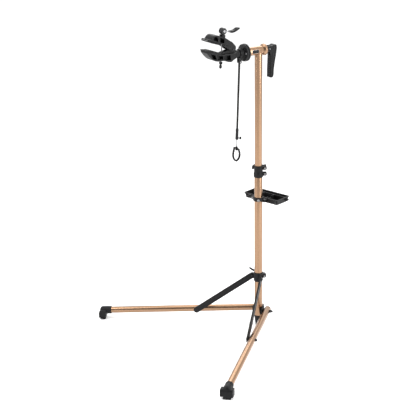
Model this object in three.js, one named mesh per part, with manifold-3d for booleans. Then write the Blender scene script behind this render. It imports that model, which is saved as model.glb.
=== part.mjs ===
// Folding work stand that holds a bicycle by its frame or seat post while it is repaired.
// Millimetres, +Z up, the floor at z = 0. The clamp reaches out along -X.
import * as THREE from 'three';
import { mergeVertices } from 'three/addons/utils/BufferGeometryUtils.js';
import Module from 'manifold-3d';

const wasm = await Module();
wasm.setup();

// ---------- driving dimensions ----------
const GAP = 0.3;                 // between pieces that touch
const DEG = Math.PI / 180;

// mast
const LOWER_TUBE_R = 19;         // lower mast tube, outer radius
const UPPER_TUBE_R = 17.2;       // upper mast tube, outer radius
const TUBE_WALL = 1.4;
const LOWER_TUBE_Z = [58, 762];  // ends of the lower tube
const UPPER_TUBE_FOOT = 550;     // lower end of the upper tube, inside the lower one
const HEAD_Z = 1350;             // axis of the head tube
const MAST_PLUG_Z = 0;           // underside of the tapered plug that the mast stands on

// legs: measured from the mast's axis, along each leg and across it
const LEG_SPREAD = 40 * DEG;     // each leg from the -X axis
const LEG_R = 16;
const LEG_LENGTH = 765;          // pivot to the middle of the foot
const LEG_OFFSET = 41;           // leg axis beside the mast's axis
const LEG_PIVOT_Z = 79.5;
const FOOT_AXIS_Z = 42;          // leg axis above the floor at the foot
const LEG_SLOPE = Math.asin((LEG_PIVOT_Z - FOOT_AXIS_Z) / LEG_LENGTH);

// braces between the sliding collar and the legs
const BRACE_PIVOT_ALONG = 301;   // lower pivot, along the leg
const COLLAR_PIVOT = [31, 253];  // upper pivot: along the leg's direction, height
const BRACE_OFFSET = 19.3;       // middle of the brace beside the mast's axis
const BRACE_THICK = 8;
const BRACE_HALF = 14;           // half the brace's width, and the radius of its ends

// things round the mast
const EARS_TURN = -34.5 * DEG;   // direction in which the split ears of both collars point
const LOW_COLLAR = { r: 22.2, z: [233, 278], boltZ: 259 };
const MID_COLLAR = { r: [22.6, 20.6], z: [753, 809], boltZ: [801, 773] };
const TRAY = { turn: 13.5 * DEG, near: 27, deep: 92, long: 199, rim: 649, floor: 623, ringZ: [638, 656],
  aside: 9.5, boltTurn: 39.5 * DEG };

// clamp head: places along the arm are distances from the mast's axis towards the clamp
const HEAD_TUBE_R = 19.5;
const HEAD_TUBE = [-30, 66];
const DISC_R = 39.5;
const DISC_THICK = 10;
const ARM_R = 16;
const JAW_HALF = 26;             // half the jaws' width
const JAW_HINGE = [155, 28];     // along the arm, height above the arm's axis
const CLAMP_ROD = [205, 5 * DEG];// where the rod crosses the arm's axis, and its lean
const HANGER_PIN = [106, -38];
const SPINDLE_R = 6;
const CAM_PIN_X = -56;           // pin of the head's cam lever
const CAM_R = [16, 14];          // reach of the cam when locked and when open
const KNOB_TURN = 145.5 * DEG;
const ROD_TILT = 2.6 * DEG;      // the stabiliser hangs with its foot a little further out

const COLOURS = {
  gold: [0xc49a72, 0.35, 0.9], black: [0x1b1c1e, 0.5, 0.1], steel: [0xc9cbce, 0.3, 1],
  rubber: [0x141414, 0.85, 0], grey: [0x46474a, 0.55, 0.1], label: [0x24262a, 0.4, 0],
};

const stand = new THREE.Group();

// ---------- shapes ----------

/** A manifold-3d solid of a closed three.js geometry, with its faces pointing out. */
function solid(geometry) {
  const bare = geometry.index ? geometry.toNonIndexed() : geometry.clone();
  bare.deleteAttribute('normal');
  bare.deleteAttribute('uv');
  // merging rounds coordinates to a grid, so a seam that straddles one grid is tried on another
  for (const grid of [1e-4, 3.3e-4, 7e-5, 1.1e-3]) {
    const merged = mergeVertices(bare, grid);
    const points = merged.attributes.position;
    try {
      return new wasm.Manifold(new wasm.Mesh({
        numProp: 3,
        vertProperties: new Float32Array(points.array),
        triVerts: outwardTriangles(merged.index.array, points),
      }));
    } catch (error) {
      if (grid === 1.1e-3) throw error;
    }
  }
}

/** The triangles with three different corners, turned so that the volume they close is positive. */
function outwardTriangles(index, points) {
  const triangles = [];
  let volume = 0;
  for (let i = 0; i < index.length; i += 3) {
    const [a, b, c] = index.slice(i, i + 3);
    if (a === b || b === c || c === a) continue;
    triangles.push(a, b, c);
    const [u, v, w] = [a, b, c].map((k) => new THREE.Vector3().fromBufferAttribute(points, k));
    volume += u.dot(v.cross(w));
  }
  return new Uint32Array(volume < 0 ? triangles.reverse() : triangles);
}

/** Joins the first shape with the shapes in add and cuts away those in cut. */
function made({ add = [], cut = [] }) {
  let body = solid(add[0]);
  for (const g of add.slice(1)) body = body.add(solid(g));
  for (const g of cut) body = body.subtract(solid(g));
  const mesh = body.getMesh();
  const geometry = new THREE.BufferGeometry();
  const points = new Float32Array(mesh.numVert * 3);
  for (let i = 0; i < mesh.numVert; i++) {
    for (let k = 0; k < 3; k++) points[3 * i + k] = mesh.vertProperties[mesh.numProp * i + k];
  }
  geometry.setAttribute('position', new THREE.BufferAttribute(points, 3));
  geometry.setIndex(new THREE.BufferAttribute(new Uint32Array(mesh.triVerts), 1));
  return geometry;
}

/** Adds one named piece, made of one geometry or of a recipe for made(). */
function piece(parent, name, shape, colour) {
  const recipe = shape.isBufferGeometry ? { add: [shape] } : shape;
  const geometry = made(recipe);
  geometry.computeVertexNormals();
  const [color, roughness, metalness] = COLOURS[colour];
  const mesh = new THREE.Mesh(geometry, new THREE.MeshStandardMaterial({ color, roughness, metalness }));
  mesh.name = name;
  parent.add(mesh);
  return mesh;
}

const AXES = {
  x: (g) => g.rotateZ(-Math.PI / 2), y: (g) => g, z: (g) => g.rotateX(Math.PI / 2),
};

/** A solid of revolution about an axis. Rows are [radius, place along the axis]. */
function turned(rows, axis = 'z', sides = 24) {
  const g = new THREE.LatheGeometry(rows.map(([r, t]) => new THREE.Vector2(r, t)), sides);
  return AXES[axis](g);
}

/** A round bar with small chamfers. */
function bar(r, from, to, axis = 'z', sides = 16, edge = Math.min(0.8, r / 4)) {
  const [a, b] = from < to ? [from, to] : [to, from];
  return turned([[0, a], [r - edge, a], [r, a + edge], [r, b - edge], [r - edge, b], [0, b]], axis, sides);
}

/** A pipe: a closed ring section turned about an axis. */
function pipe(outer, inner, from, to, axis = 'z', sides = 32) {
  const [a, b] = from < to ? [from, to] : [to, from];
  return turned([[inner, a], [outer, a], [outer, b], [inner, b], [inner, a]], axis, sides);
}

/** A box given by its lowest and highest corners. */
function block(low, high) {
  const size = low.map((v, i) => high[i] - v);
  const g = new THREE.BoxGeometry(...size);
  return g.translate(...low.map((v, i) => v + size[i] / 2));
}

/** An outline in the x-z plane, spread along y. A third number rounds that corner. */
function sidePlate(corners, y0, y1, bevel = 0) {
  const g = new THREE.ExtrudeGeometry(rounded(corners), {
    depth: y1 - y0 - 2 * bevel, curveSegments: 3, steps: 1,
    bevelEnabled: bevel > 0, bevelThickness: bevel, bevelSize: bevel, bevelOffset: -bevel, bevelSegments: 1,
  });
  return g.rotateX(Math.PI / 2).translate(0, y1 - bevel, 0);
}

/** An outline in the x-y plane, spread along z. */
function flatPlate(corners, z0, z1, bevel = 0) {
  const g = new THREE.ExtrudeGeometry(rounded(corners), {
    depth: z1 - z0 - 2 * bevel, curveSegments: 3, steps: 1,
    bevelEnabled: bevel > 0, bevelThickness: bevel, bevelSize: bevel, bevelOffset: -bevel, bevelSegments: 1,
  });
  return g.translate(0, 0, z0 + bevel);
}

/** A shape with straight sides whose corners [x, y, radius] are rounded as far as their sides allow. */
function rounded(corners) {
  const shape = new THREE.Shape();
  const n = corners.length;
  corners.forEach(([x, y, r = 0], i) => {
    const here = new THREE.Vector2(x, y);
    const toward = (k) => {
      const side = new THREE.Vector2(corners[k][0], corners[k][1]).sub(here);
      return here.clone().addScaledVector(side.clone().normalize(), Math.min(r, 0.45 * side.length()));
    };
    const a = toward((i + n - 1) % n);
    const b = toward((i + 1) % n);
    if (i === 0) shape.moveTo(a.x, a.y);
    else shape.lineTo(a.x, a.y);
    if (r > 0) shape.quadraticCurveTo(x, y, b.x, b.y);
  });
  shape.closePath();
  return shape;
}

/** A flat bar with round ends between two points of the x-z plane. */
function link([x0, z0], [x1, z1], half, y0, y1) {
  const shape = new THREE.Shape();
  const turn = Math.atan2(z1 - z0, x1 - x0);
  shape.absarc(x1, z1, half, turn - Math.PI / 2, turn + Math.PI / 2, false);
  shape.absarc(x0, z0, half, turn + Math.PI / 2, turn + 1.5 * Math.PI, false);
  shape.closePath();
  const g = new THREE.ExtrudeGeometry(shape, { depth: y1 - y0, bevelEnabled: false, curveSegments: 8 });
  return g.rotateX(Math.PI / 2).translate(0, y1, 0);
}

/** A band bent round the z axis between two angles. */
function arcBand(inner, outer, from, to, z0, z1, sides = 12) {
  const shape = new THREE.Shape();
  shape.absarc(0, 0, outer, from, to, false);
  shape.absarc(0, 0, inner, to, from, true);
  shape.closePath();
  const g = new THREE.ExtrudeGeometry(shape, { depth: z1 - z0, bevelEnabled: false, curveSegments: sides });
  return g.translate(0, 0, z0);
}

/** A round or flat section swept along a smooth curve. */
function swept(points, section, steps) {
  const path = new THREE.CatmullRomCurve3(points.map((p) => new THREE.Vector3(...p)), false, 'centripetal');
  return new THREE.ExtrudeGeometry(section, { steps, curveSegments: 1, bevelEnabled: false,
    extrudePath: path });
}

function circle(r, sides) {
  const s = new THREE.Shape();
  for (let i = 0; i < sides; i++) {
    const t = (i / sides) * 2 * Math.PI;
    if (i) s.lineTo(r * Math.cos(t), r * Math.sin(t));
    else s.moveTo(r, 0);
  }
  s.closePath();
  return s;
}

function group(parent, { at = [0, 0, 0], turnZ = 0, turnY = 0 } = {}) {
  const g = new THREE.Group();
  g.position.set(...at);
  g.rotation.set(0, turnY, turnZ, 'ZYX');
  parent.add(g);
  return g;
}

// ---------- mast ----------

function buildMast() {
  const [z0, z1] = LOWER_TUBE_Z;
  const inner = LOWER_TUBE_R - TUBE_WALL;
  piece(stand, 'lower_mast_tube', {
    add: [pipe(LOWER_TUBE_R, inner, z0, z1)],
  }, 'gold');
  piece(stand, 'mast_end_plug', turned([
    [0, MAST_PLUG_Z], [10, MAST_PLUG_Z], [13, MAST_PLUG_Z + 3], [18.6, z0 - 6], [LOWER_TUBE_R, z0 - 3],
    [LOWER_TUBE_R, z0 - GAP], [inner - GAP, z0 - GAP], [inner - GAP, z0 + 22], [inner - 2, z0 + 24],
    [0, z0 + 24],
  ], 'z', 24), 'black');

  const upperInner = UPPER_TUBE_R - TUBE_WALL;
  piece(stand, 'upper_mast_tube', {
    add: [pipe(UPPER_TUBE_R, upperInner, UPPER_TUBE_FOOT, HEAD_Z)],
    cut: [bar(HEAD_TUBE_R + GAP, -40, 40, 'x', 32, 0)].map((g) => g.translate(0, 0, HEAD_Z)),
  }, 'gold');
  // the lower end of the upper tube runs in the lower tube on a nylon guide that it turns on
  const slide = inner - GAP;
  piece(stand, 'mast_guide_bushing', pipe(slide, upperInner - 3, UPPER_TUBE_FOOT - 16,
    UPPER_TUBE_FOOT - GAP),
    'grey');
}

/** Casting pinned round the foot of the mast, with an ear beside each leg. */
function buildLegBracket() {
  const add = [arcBand(LOWER_TUBE_R + GAP, LOWER_TUBE_R + 4, -100 * DEG, 100 * DEG, 62, 97)];
  const cut = [];
  for (const side of [1, -1]) {
    const ear = sidePlate([[-22, 62, 6], [30, 62, 12], [30, 98, 14], [-22, 98, 6]],
      LOWER_TUBE_R + 1.2, LEG_OFFSET - LEG_R - 0.7);
    const hole = bar(5 + GAP, 10, 40, 'y', 12, 0).translate(0, 0, LEG_PIVOT_Z);
    for (const g of [ear, hole]) {
      if (side < 0) g.scale(1, -1, 1);
      g.rotateZ(Math.PI + side * LEG_SPREAD);
    }
    add.push(ear);
    cut.push(hole);
  }
  cut.push(bar(LOWER_TUBE_R + GAP, 50, 110, 'z', 32, 0));
  piece(stand, 'leg_bracket', { add, cut }, 'black');
}

// ---------- legs and braces ----------

/** One leg with its foot and brace. Local x runs out along the leg,
  y is the side away from the other leg. */
function buildLeg(name, side) {
  const frame = group(stand, { turnZ: Math.PI + side * LEG_SPREAD });
  const y = (v) => side * v;
  const span = (a, b) => (side > 0 ? [a, b] : [-b, -a]);

  const leg = group(frame, { at: [0, y(LEG_OFFSET), LEG_PIVOT_Z], turnY: LEG_SLOPE });
  const inner = LEG_R - TUBE_WALL;
  const boltHole = (x) => bar(4 + GAP, -LEG_R - 2, LEG_R + 2, 'y', 12, 0).translate(x, 0, 0);
  piece(leg, `${name}_leg_tube`, {
    add: [pipe(LEG_R, inner, -20, LEG_LENGTH - 22, 'x', 24)],
    cut: [boltHole(0), boltHole(BRACE_PIVOT_ALONG)],
  }, 'gold');
  piece(leg, `${name}_leg_end_plug`, {
    add: [turned([[0, -25], [13, -25], [LEG_R, -23], [LEG_R, -20 - GAP], [inner - GAP, -20 - GAP],
      [inner - GAP, -8], [0, -8]], 'x', 24)],
  }, 'grey');
  const boltIn = -LEG_OFFSET + LOWER_TUBE_R + 0.6;
  piece(leg, `${name}_leg_pivot_bolt`, turned([
    [0, boltIn], [4, boltIn], [4, LEG_R + GAP], [9, LEG_R + GAP], [9, LEG_R + 2.5], [7.6, LEG_R + 3],
    [7.6, LEG_R + 12], [6, LEG_R + 13], [0, LEG_R + 13]].map(([r, t]) => [r, y(t)]), 'y', 16), 'black');

  buildFoot(frame, name, y);

  // brace
  const pivot = [BRACE_PIVOT_ALONG * Math.cos(LEG_SLOPE),
    LEG_PIVOT_Z - BRACE_PIVOT_ALONG * Math.sin(LEG_SLOPE)];
  const [b0, b1] = span(BRACE_OFFSET - BRACE_THICK / 2, BRACE_OFFSET + BRACE_THICK / 2);
  const hole = (p) => bar(4 + GAP, b0 - 3, b1 + 3, 'y', 12, 0).translate(p[0], 0, p[1]);
  piece(frame, `${name}_brace`, {
    add: [link(COLLAR_PIVOT, pivot, BRACE_HALF, b0, b1),
      bar(7, y(BRACE_OFFSET), y(BRACE_OFFSET - BRACE_THICK / 2 - 3), 'y', 14, 1).translate(pivot[0], 0,
        pivot[1])],
    cut: [hole(COLLAR_PIVOT)],
  }, 'black');
  // collar pin: head outside the brace, shank through the collar's lug
  const outside = BRACE_OFFSET + BRACE_THICK / 2 + GAP;
  piece(frame, `${name}_collar_pin`, turned([
    [0, outside - 17], [4, outside - 17], [4, outside], [7.5, outside], [7.5, outside + 4],
    [0, outside + 5],
  ].map(([r, t]) => [r, y(t)]), 'y', 14).translate(COLLAR_PIVOT[0], 0, COLLAR_PIVOT[1]), 'steel');
  // brace bolt: through the leg, with its nut outside; the brace's rivet boss turns against its inner end
  const inside = BRACE_OFFSET - LEG_OFFSET + BRACE_THICK / 2 + GAP;
  piece(leg, `${name}_brace_bolt`, turned([
    [0, inside], [4, inside], [4, LEG_R + GAP], [8, LEG_R + GAP], [8, LEG_R + 6],
    [5, LEG_R + 8], [0, LEG_R + 8],
  ].map(([r, t]) => [r, y(t)]), 'y', 14).translate(BRACE_PIVOT_ALONG, 0, 0), 'black');
}

/** Moulded foot: a sleeve on the tube's end, a cross block, and a rubber pad under it. */
function buildFoot(frame, name, y) {
  const reach = LEG_LENGTH * Math.cos(LEG_SLOPE);
  const foot = group(frame, { at: [reach, y(LEG_OFFSET), 0] });
  const sleeve = turned([[LEG_R + GAP, -42], [LEG_R + 3, -42], [LEG_R + 3, -30], [LEG_R + 2.2, -29],
    [LEG_R + 2.2, -24], [LEG_R + 3, -23], [LEG_R + 3, -2], [LEG_R + GAP, -2], [LEG_R + GAP, -42]], 'x', 20)
    .rotateY(LEG_SLOPE).translate(0, 0, FOOT_AXIS_Z);
  const half = 29;
  const body = sidePlate([[-18, 12, 3], [17, 12, 3], [17, 42, 2], [12, 48, 3], [-14, 48, 2], [-18, 44, 2]],
    -half, half, 2);
  const cap = turned([[0, 14], [LEG_R - 3, 14], [LEG_R + 3, 8], [LEG_R + 3, -8], [0, -8]], 'x', 20)
    .rotateY(LEG_SLOPE).translate(0, 0, FOOT_AXIS_Z);
  piece(foot, `${name}_foot`, {
    add: [body, cap, sleeve],
    cut: [bar(LEG_R + GAP, -60, -19, 'x', 20, 0).rotateY(LEG_SLOPE).translate(0, 0, FOOT_AXIS_Z)],
  }, 'black');
  piece(foot, `${name}_foot_pad`, flatPlate([[-12, -17, 3], [12, -17, 3], [12, 17, 3], [-12, 17, 3]], 0,
    12 - GAP, 1),
    'rubber');
}

// ---------- collars ----------

/** Ears of a split collar on its +x side, with the slit between them. */
function splitEars(rInner, rOuter, earZ, earR, half) {
  const add = [];
  for (const z of earZ) {
    add.push(sidePlate([[rInner, z - earR, 1], [rOuter, z - earR, earR * 0.8],
      [rOuter, z + earR, earR * 0.8],
      [rInner, z + earR, 1]], -half, half));
  }
  return add;
}

function buildLowCollar() {
  const { r, z: [z0, z1], boltZ } = LOW_COLLAR;
  const bore = LOWER_TUBE_R + GAP;
  const frame = group(stand, { turnZ: EARS_TURN });
  const barrel = turned([[bore, z0], [r - 2, z0], [r, z0 + 5], [r, z1 - 1.5], [r - 1, z1], [bore, z1],
    [bore, z0]],
    'z', 28);
  const lugs = [];
  for (const side of [1, -1]) {
    const lug = sidePlate([[0, 240, 1], [COLLAR_PIVOT[0] + 13, 240, 11], [COLLAR_PIVOT[0] + 13, 267, 11],
      [0, 267, 1]],
      8.4, BRACE_OFFSET - BRACE_THICK / 2 - GAP);
    if (side < 0) lug.scale(1, -1, 1);
    lugs.push(lug.rotateZ(Math.PI + side * LEG_SPREAD - EARS_TURN));
  }
  const pinHoles = [1, -1].map((side) => {
    const hole = bar(4 + GAP, 4, 17, 'y', 12, 0).translate(COLLAR_PIVOT[0], 0, COLLAR_PIVOT[1]);
    if (side < 0) hole.scale(1, -1, 1);
    return hole.rotateZ(Math.PI + side * LEG_SPREAD - EARS_TURN);
  });
  piece(frame, 'sliding_collar', {
    add: [barrel, ...lugs, ...splitEars(r - 3, r + 16, [boltZ], 9, 8)],
    cut: [bar(bore, z0 - 5, z1 + 5, 'z', 28, 0), block([0, -1.2, z0 - 5], [r + 20, 1.2, z1 + 5]),
      ...pinHoles,
      bar(3 + GAP, -20, 20, 'y', 12, 0).translate(r + 7, 0, boltZ)],
  }, 'black');
  const x = r + 7;
  piece(frame, 'collar_clamp_bolt', {
    add: [turned([[0, -14], [4, -14], [5, -13], [5, -8.3], [3, -8.3], [3, 9.2], [0, 9.2]], 'y', 14)
      .translate(x, 0, boltZ)],
  }, 'steel');
  // cam lever: pivots on the far end of the bolt and wraps round the back of the collar
  piece(frame, 'collar_quick_release', {
    add: [
      bar(7, boltZ - 8, boltZ + 8, 'z', 16).translate(x, 16.5, 0),
      swept([[x, 17, boltZ], [x - 6, 27, boltZ + 1], [8, 32, boltZ + 4], [-16, 28, boltZ + 14],
        [-33, 18, boltZ + 28], [-42, 10, boltZ + 38]],
      rounded([[-6, -2.4, 1], [6, -2.4, 1], [6, 2.4, 1], [-6, 2.4, 1]]), 14),
    ],
  }, 'black');
}

function buildMidCollar() {
  const { r: [rLow, rTop], z: [z0, z1], boltZ } = MID_COLLAR;
  const frame = group(stand, { turnZ: EARS_TURN });
  const step = LOWER_TUBE_Z[1];
  const barrel = turned([[LOWER_TUBE_R + GAP, z0], [rLow - 2, z0], [rLow, z0 + 4], [rLow, z0 + 18],
    [rTop, z0 + 26],
    [rTop, z1 - 1.5], [rTop - 1, z1], [UPPER_TUBE_R + GAP, z1], [UPPER_TUBE_R + GAP, step + GAP],
    [LOWER_TUBE_R + GAP, step + GAP], [LOWER_TUBE_R + GAP, z0]], 'z', 28);
  const x = rLow + 8;
  const bolts = boltZ.map((z) => bar(3 + GAP, -24, 24, 'y', 12, 0).translate(x, 0, z));
  piece(frame, 'mast_collar', {
    add: [barrel, ...splitEars(UPPER_TUBE_R + 1, x + 8.5, boltZ, 8.5, 8)],
    cut: [bar(UPPER_TUBE_R + GAP, z0 - 5, z1 + 12, 'z', 28, 0),
      bar(LOWER_TUBE_R + GAP, z0 - 5, step + GAP, 'z', 28, 0),
      block([0, -1.2, z0 - 5], [x + 20, 1.2, z1 + 12]), ...bolts],
  }, 'black');
  piece(frame, 'mast_clamp_bolt', turned([[0, -14], [4, -14], [5, -13], [5, -8.3], [3, -8.3], [3, 9.2],
    [0, 9.2]], 'y', 14).translate(x, 0, boltZ[0]), 'steel');
  piece(frame, 'mast_pinch_bolt', turned([[0, -14], [4, -14], [5, -13], [5, -8.3], [3, -8.3], [3, 8.3],
    [6, 8.3], [6, 13], [0, 13]], 'y', 14).translate(x, 0, boltZ[1]), 'steel');
  const z = boltZ[0];
  piece(frame, 'mast_quick_release', {
    add: [
      bar(7.5, z - 11, z + 11, 'z', 16).translate(x, 17, 0),
      arcBand(25.2, 30.2, 38 * DEG, 172 * DEG, z - 14, z + 14, 14),
      block([x - 12, 15, z - 9], [x, 20, z + 9]),
    ],
    cut: [bar(25, z - 20, z + 20, 'z', 28, 0)],
  }, 'black');
}

// ---------- tool tray ----------

function buildTray() {
  const { turn, near, deep, long, rim, floor, ringZ, aside, boltTurn } = TRAY;
  const frame = group(stand, { turnZ: turn });
  const tray = group(frame, { at: [0, aside, 0] });
  const half = long / 2;
  const far = near + deep;
  const wall = 2.6;
  const draft = 5;
  const tub = taperedBlock([near, -half, floor], [far, half, rim], draft);
  const rooms = [
    [[near + wall, -half + wall], [near + 62, -22 - aside]],
    [[near + wall, -22 - aside + wall], [near + 62, 34 - aside]],
    [[near + wall, 34 - aside + wall], [near + 62, half - wall]],
    [[near + 62 + wall, -half + wall], [far - wall, half - wall]],
  ].map(([[x0, y0], [x1, y1]]) => taperedBlock([x0, y0, floor + wall], [x1, y1, rim + 4], 2.5));
  const lip = block([near - 2, -half - 2, rim - 3], [far + 2, half + 2, rim]);
  const holeTab = flatPlate([[far - 34, -half + 4, 1], [far - 34, -half - 14, 6], [far - 14, -half - 14, 6],
    [far - 14, -half + 2, 3]], rim - 14, rim - 11);
  const farTab = flatPlate([[near + 18, half - 4], [near + 18, half + 14, 4], [near + 44, half + 14, 4],
    [near + 44, half - 4]], rim - 14, rim - 11);
  piece(tray, 'tool_tray', {
    add: [tub, lip, holeTab, farTab],
    cut: [...rooms, bar(4, rim - 20, rim, 'z', 12, 0).translate(far - 24, -half - 7, 0),
      block([near - 6, -half + 12, floor + 6], [near + wall + 3, -half + 17, rim - 6])],
  }, 'black');
  // ring round the mast with two arms that carry the tray's near wall
  const bore = LOWER_TUBE_R + GAP;
  const [z0, z1] = ringZ;
  const boltZ = (z0 + z1) / 2;
  piece(frame, 'tray_clamp', {
    add: [pipe(24.5, bore, z0, z1, 'z', 32), block([4, -34, z0 - 5], [near - 2 - GAP, 34, z0 + 8]),
      block([-8, 20, z0 + 1], [2, 36, z0 + 17]),
        bar(7, -30, -22, 'x', 16).translate(0, 0, boltZ).rotateZ(boltTurn)],
    cut: [bar(bore, z0 - 20, z1 + 20, 'z', 32, 0),
      bar(3.4, -40, -16, 'x', 12, 0).translate(0, 0, boltZ).rotateZ(boltTurn),
      bar(3.3, -12, 6, 'x', 12, 0).translate(0, 29, boltZ)],
  }, 'black');
  const bolt = (tip, head) => turned(
    [[0, tip], [3, tip], [3, head], [6, head], [6, head - 4], [0, head - 5]], 'x', 12);
  piece(frame, 'tray_front_bolt', bolt(-20.2, -30.3).translate(0, 0, boltZ).rotateZ(boltTurn), 'steel');
  piece(frame, 'tray_side_bolt', bolt(3, -8.3).translate(0, 29, boltZ), 'steel');
}

/** A box whose four sides lean in towards its bottom. */
function taperedBlock([x0, y0, z0], [x1, y1, z1], draft) {
  const g = block([x0, y0, z0], [x1, y1, z1]);
  const p = g.attributes.position;
  const [cx, cy] = [(x0 + x1) / 2, (y0 + y1) / 2];
  for (let i = 0; i < p.count; i++) {
    if (p.getZ(i) > (z0 + z1) / 2) continue;
    p.setX(i, p.getX(i) + Math.sign(cx - p.getX(i)) * draft);
    p.setY(i, p.getY(i) + Math.sign(cy - p.getY(i)) * draft);
  }
  return g;
}

// ---------- head: local x runs from the mast towards the clamp ----------

function buildHead() {
  const head = group(stand, { at: [0, 0, HEAD_Z], turnZ: Math.PI });
  const [rear, front] = HEAD_TUBE;
  const bore = HEAD_TUBE_R - 2;
  piece(head, 'head_tube', pipe(HEAD_TUBE_R, bore, rear, front, 'x', 32), 'gold');
  piece(head, 'head_end_ring', turned([
    [SPINDLE_R + GAP, rear + 12], [bore - GAP, rear + 12], [bore - GAP, rear - GAP],
    [HEAD_TUBE_R + GAP, rear - GAP], [HEAD_TUBE_R + GAP, rear + 12], [21, rear + 12], [26.5, rear + 4],
    [26.5, rear - 3], [24, rear - 7], [SPINDLE_R + GAP, rear - 7], [SPINDLE_R + GAP, rear + 12]], 'x',
    32), 'gold');
  piece(head, 'head_bushing', pipe(bore - GAP, SPINDLE_R + GAP, front - 16, front - 3, 'x', 24), 'grey');
  piece(head, 'badge_plate', {
    add: [flatPlate([[11, -8.5, 2], [47, -8.5, 2], [47, 8.5, 2],
      [11, 8.5, 2]], 15, 21, 0.6).rotateX(-Math.PI / 2)],
    cut: [bar(HEAD_TUBE_R + GAP, -20, 60, 'x', 32, 0)],
  }, 'label');
  // release spring round the spindle
  const coil = [];
  const turns = 5;
  for (let i = 0; i <= turns * 10; i++) {
    const t = (i / 10) * 2 * Math.PI;
    coil.push([-14 + (i / (turns * 10)) * 58, 9.5 * Math.cos(t), 9.5 * Math.sin(t)]);
  }
  piece(head, 'release_spring', swept(coil, circle(1.3, 4), turns * 10), 'steel');

  // toothed coupling: one disc fixed to the head tube, one on the arm
  piece(head, 'fixed_toothed_disc', turned([
    [SPINDLE_R + GAP, front + GAP], [HEAD_TUBE_R + 1, front + GAP], [HEAD_TUBE_R + 1, front + 2],
    [DISC_R - 2, front + 2],
    [DISC_R, front + 4], [DISC_R, front + 2 + DISC_THICK], [SPINDLE_R + GAP, front + 2 + DISC_THICK],
    [SPINDLE_R + GAP, front + GAP]], 'x', 36), 'black');
  const face = front + 2 + DISC_THICK + 0.6;
  piece(head, 'turning_toothed_disc', {
    add: [turned([[SPINDLE_R + GAP, face], [DISC_R, face], [DISC_R, face + 7], [DISC_R - 2, face + 9.5],
      [ARM_R + 7, face + 9.5], [ARM_R + 5, face + 9.5 - 3], [SPINDLE_R + GAP, face + 6.5],
      [SPINDLE_R + GAP, face]],
    'x', 36)],
    cut: [bar(2.5 + GAP, face - 2, face + 20, 'x', 12, 0).translate(0, 27, 1)],
  }, 'black');
  piece(head, 'disc_screw', turned([[0, face + 1], [2.5, face + 1], [2.5, face + 9.5 + GAP],
    [5, face + 9.5 + GAP],
    [4.4, face + 12.4], [0, face + 13]], 'x', 12).translate(0, 27, 1), 'steel');

  // spindle through head tube and discs; the cam lever pulls it back against the arm
  const nut = face + 20;
  piece(head, 'head_spindle', {
    add: [bar(SPINDLE_R, CAM_PIN_X - 8, nut + 12, 'x', 20),
      turned([[0, nut], [9.5, nut], [9.5, nut + 8], [0, nut + 8]], 'x', 6),
      bar(3, -14, 14, 'y', 12).translate(CAM_PIN_X, 0, 0)],
  }, 'steel');
  piece(head, 'cam_seat', pipe(13, SPINDLE_R + GAP, rear - 7 - GAP, rear - 9.4, 'x', 24), 'grey');

  const cam = [];
  for (let i = 0; i <= 6; i++) {
    const t = (i / 6) * 90 * DEG;
    const r = CAM_R[0] + ((CAM_R[1] - CAM_R[0]) * i) / 6;
    cam.push([CAM_PIN_X + r * Math.cos(t), r * Math.sin(t)]);
  }
  const leverOutline = [...cam, [-72, 13.9, 2], [-78, 18, 4], [-90, 18, 5], [-94, 8, 5], [-92, -15, 8], [-84, -55, 30],
    [-77, -92, 20],
    [-76, -120, 6], [-72, -131, 6], [-58, -133, 5], [-59, -120, 4], [-59, -92, 20], [-61, -55, 30],
    [-62, -28, 14], [-60, -17, 3], [CAM_PIN_X, -15, 8], [CAM_PIN_X + 13, -10, 5]];
  piece(head, 'head_cam_lever', {
    add: [sidePlate(leverOutline, -14.5, 14.5, 0)],
    cut: [block([CAM_PIN_X - SPINDLE_R - 5, -SPINDLE_R - 0.6, -30], [-20, SPINDLE_R + 0.6, 30]),
      bar(3 + GAP, -20, 20, 'y', 12, 0).translate(CAM_PIN_X, 0, 0)],
  }, 'black');

  buildClamp(head, face, nut);
  buildStabiliser(head);
}

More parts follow.
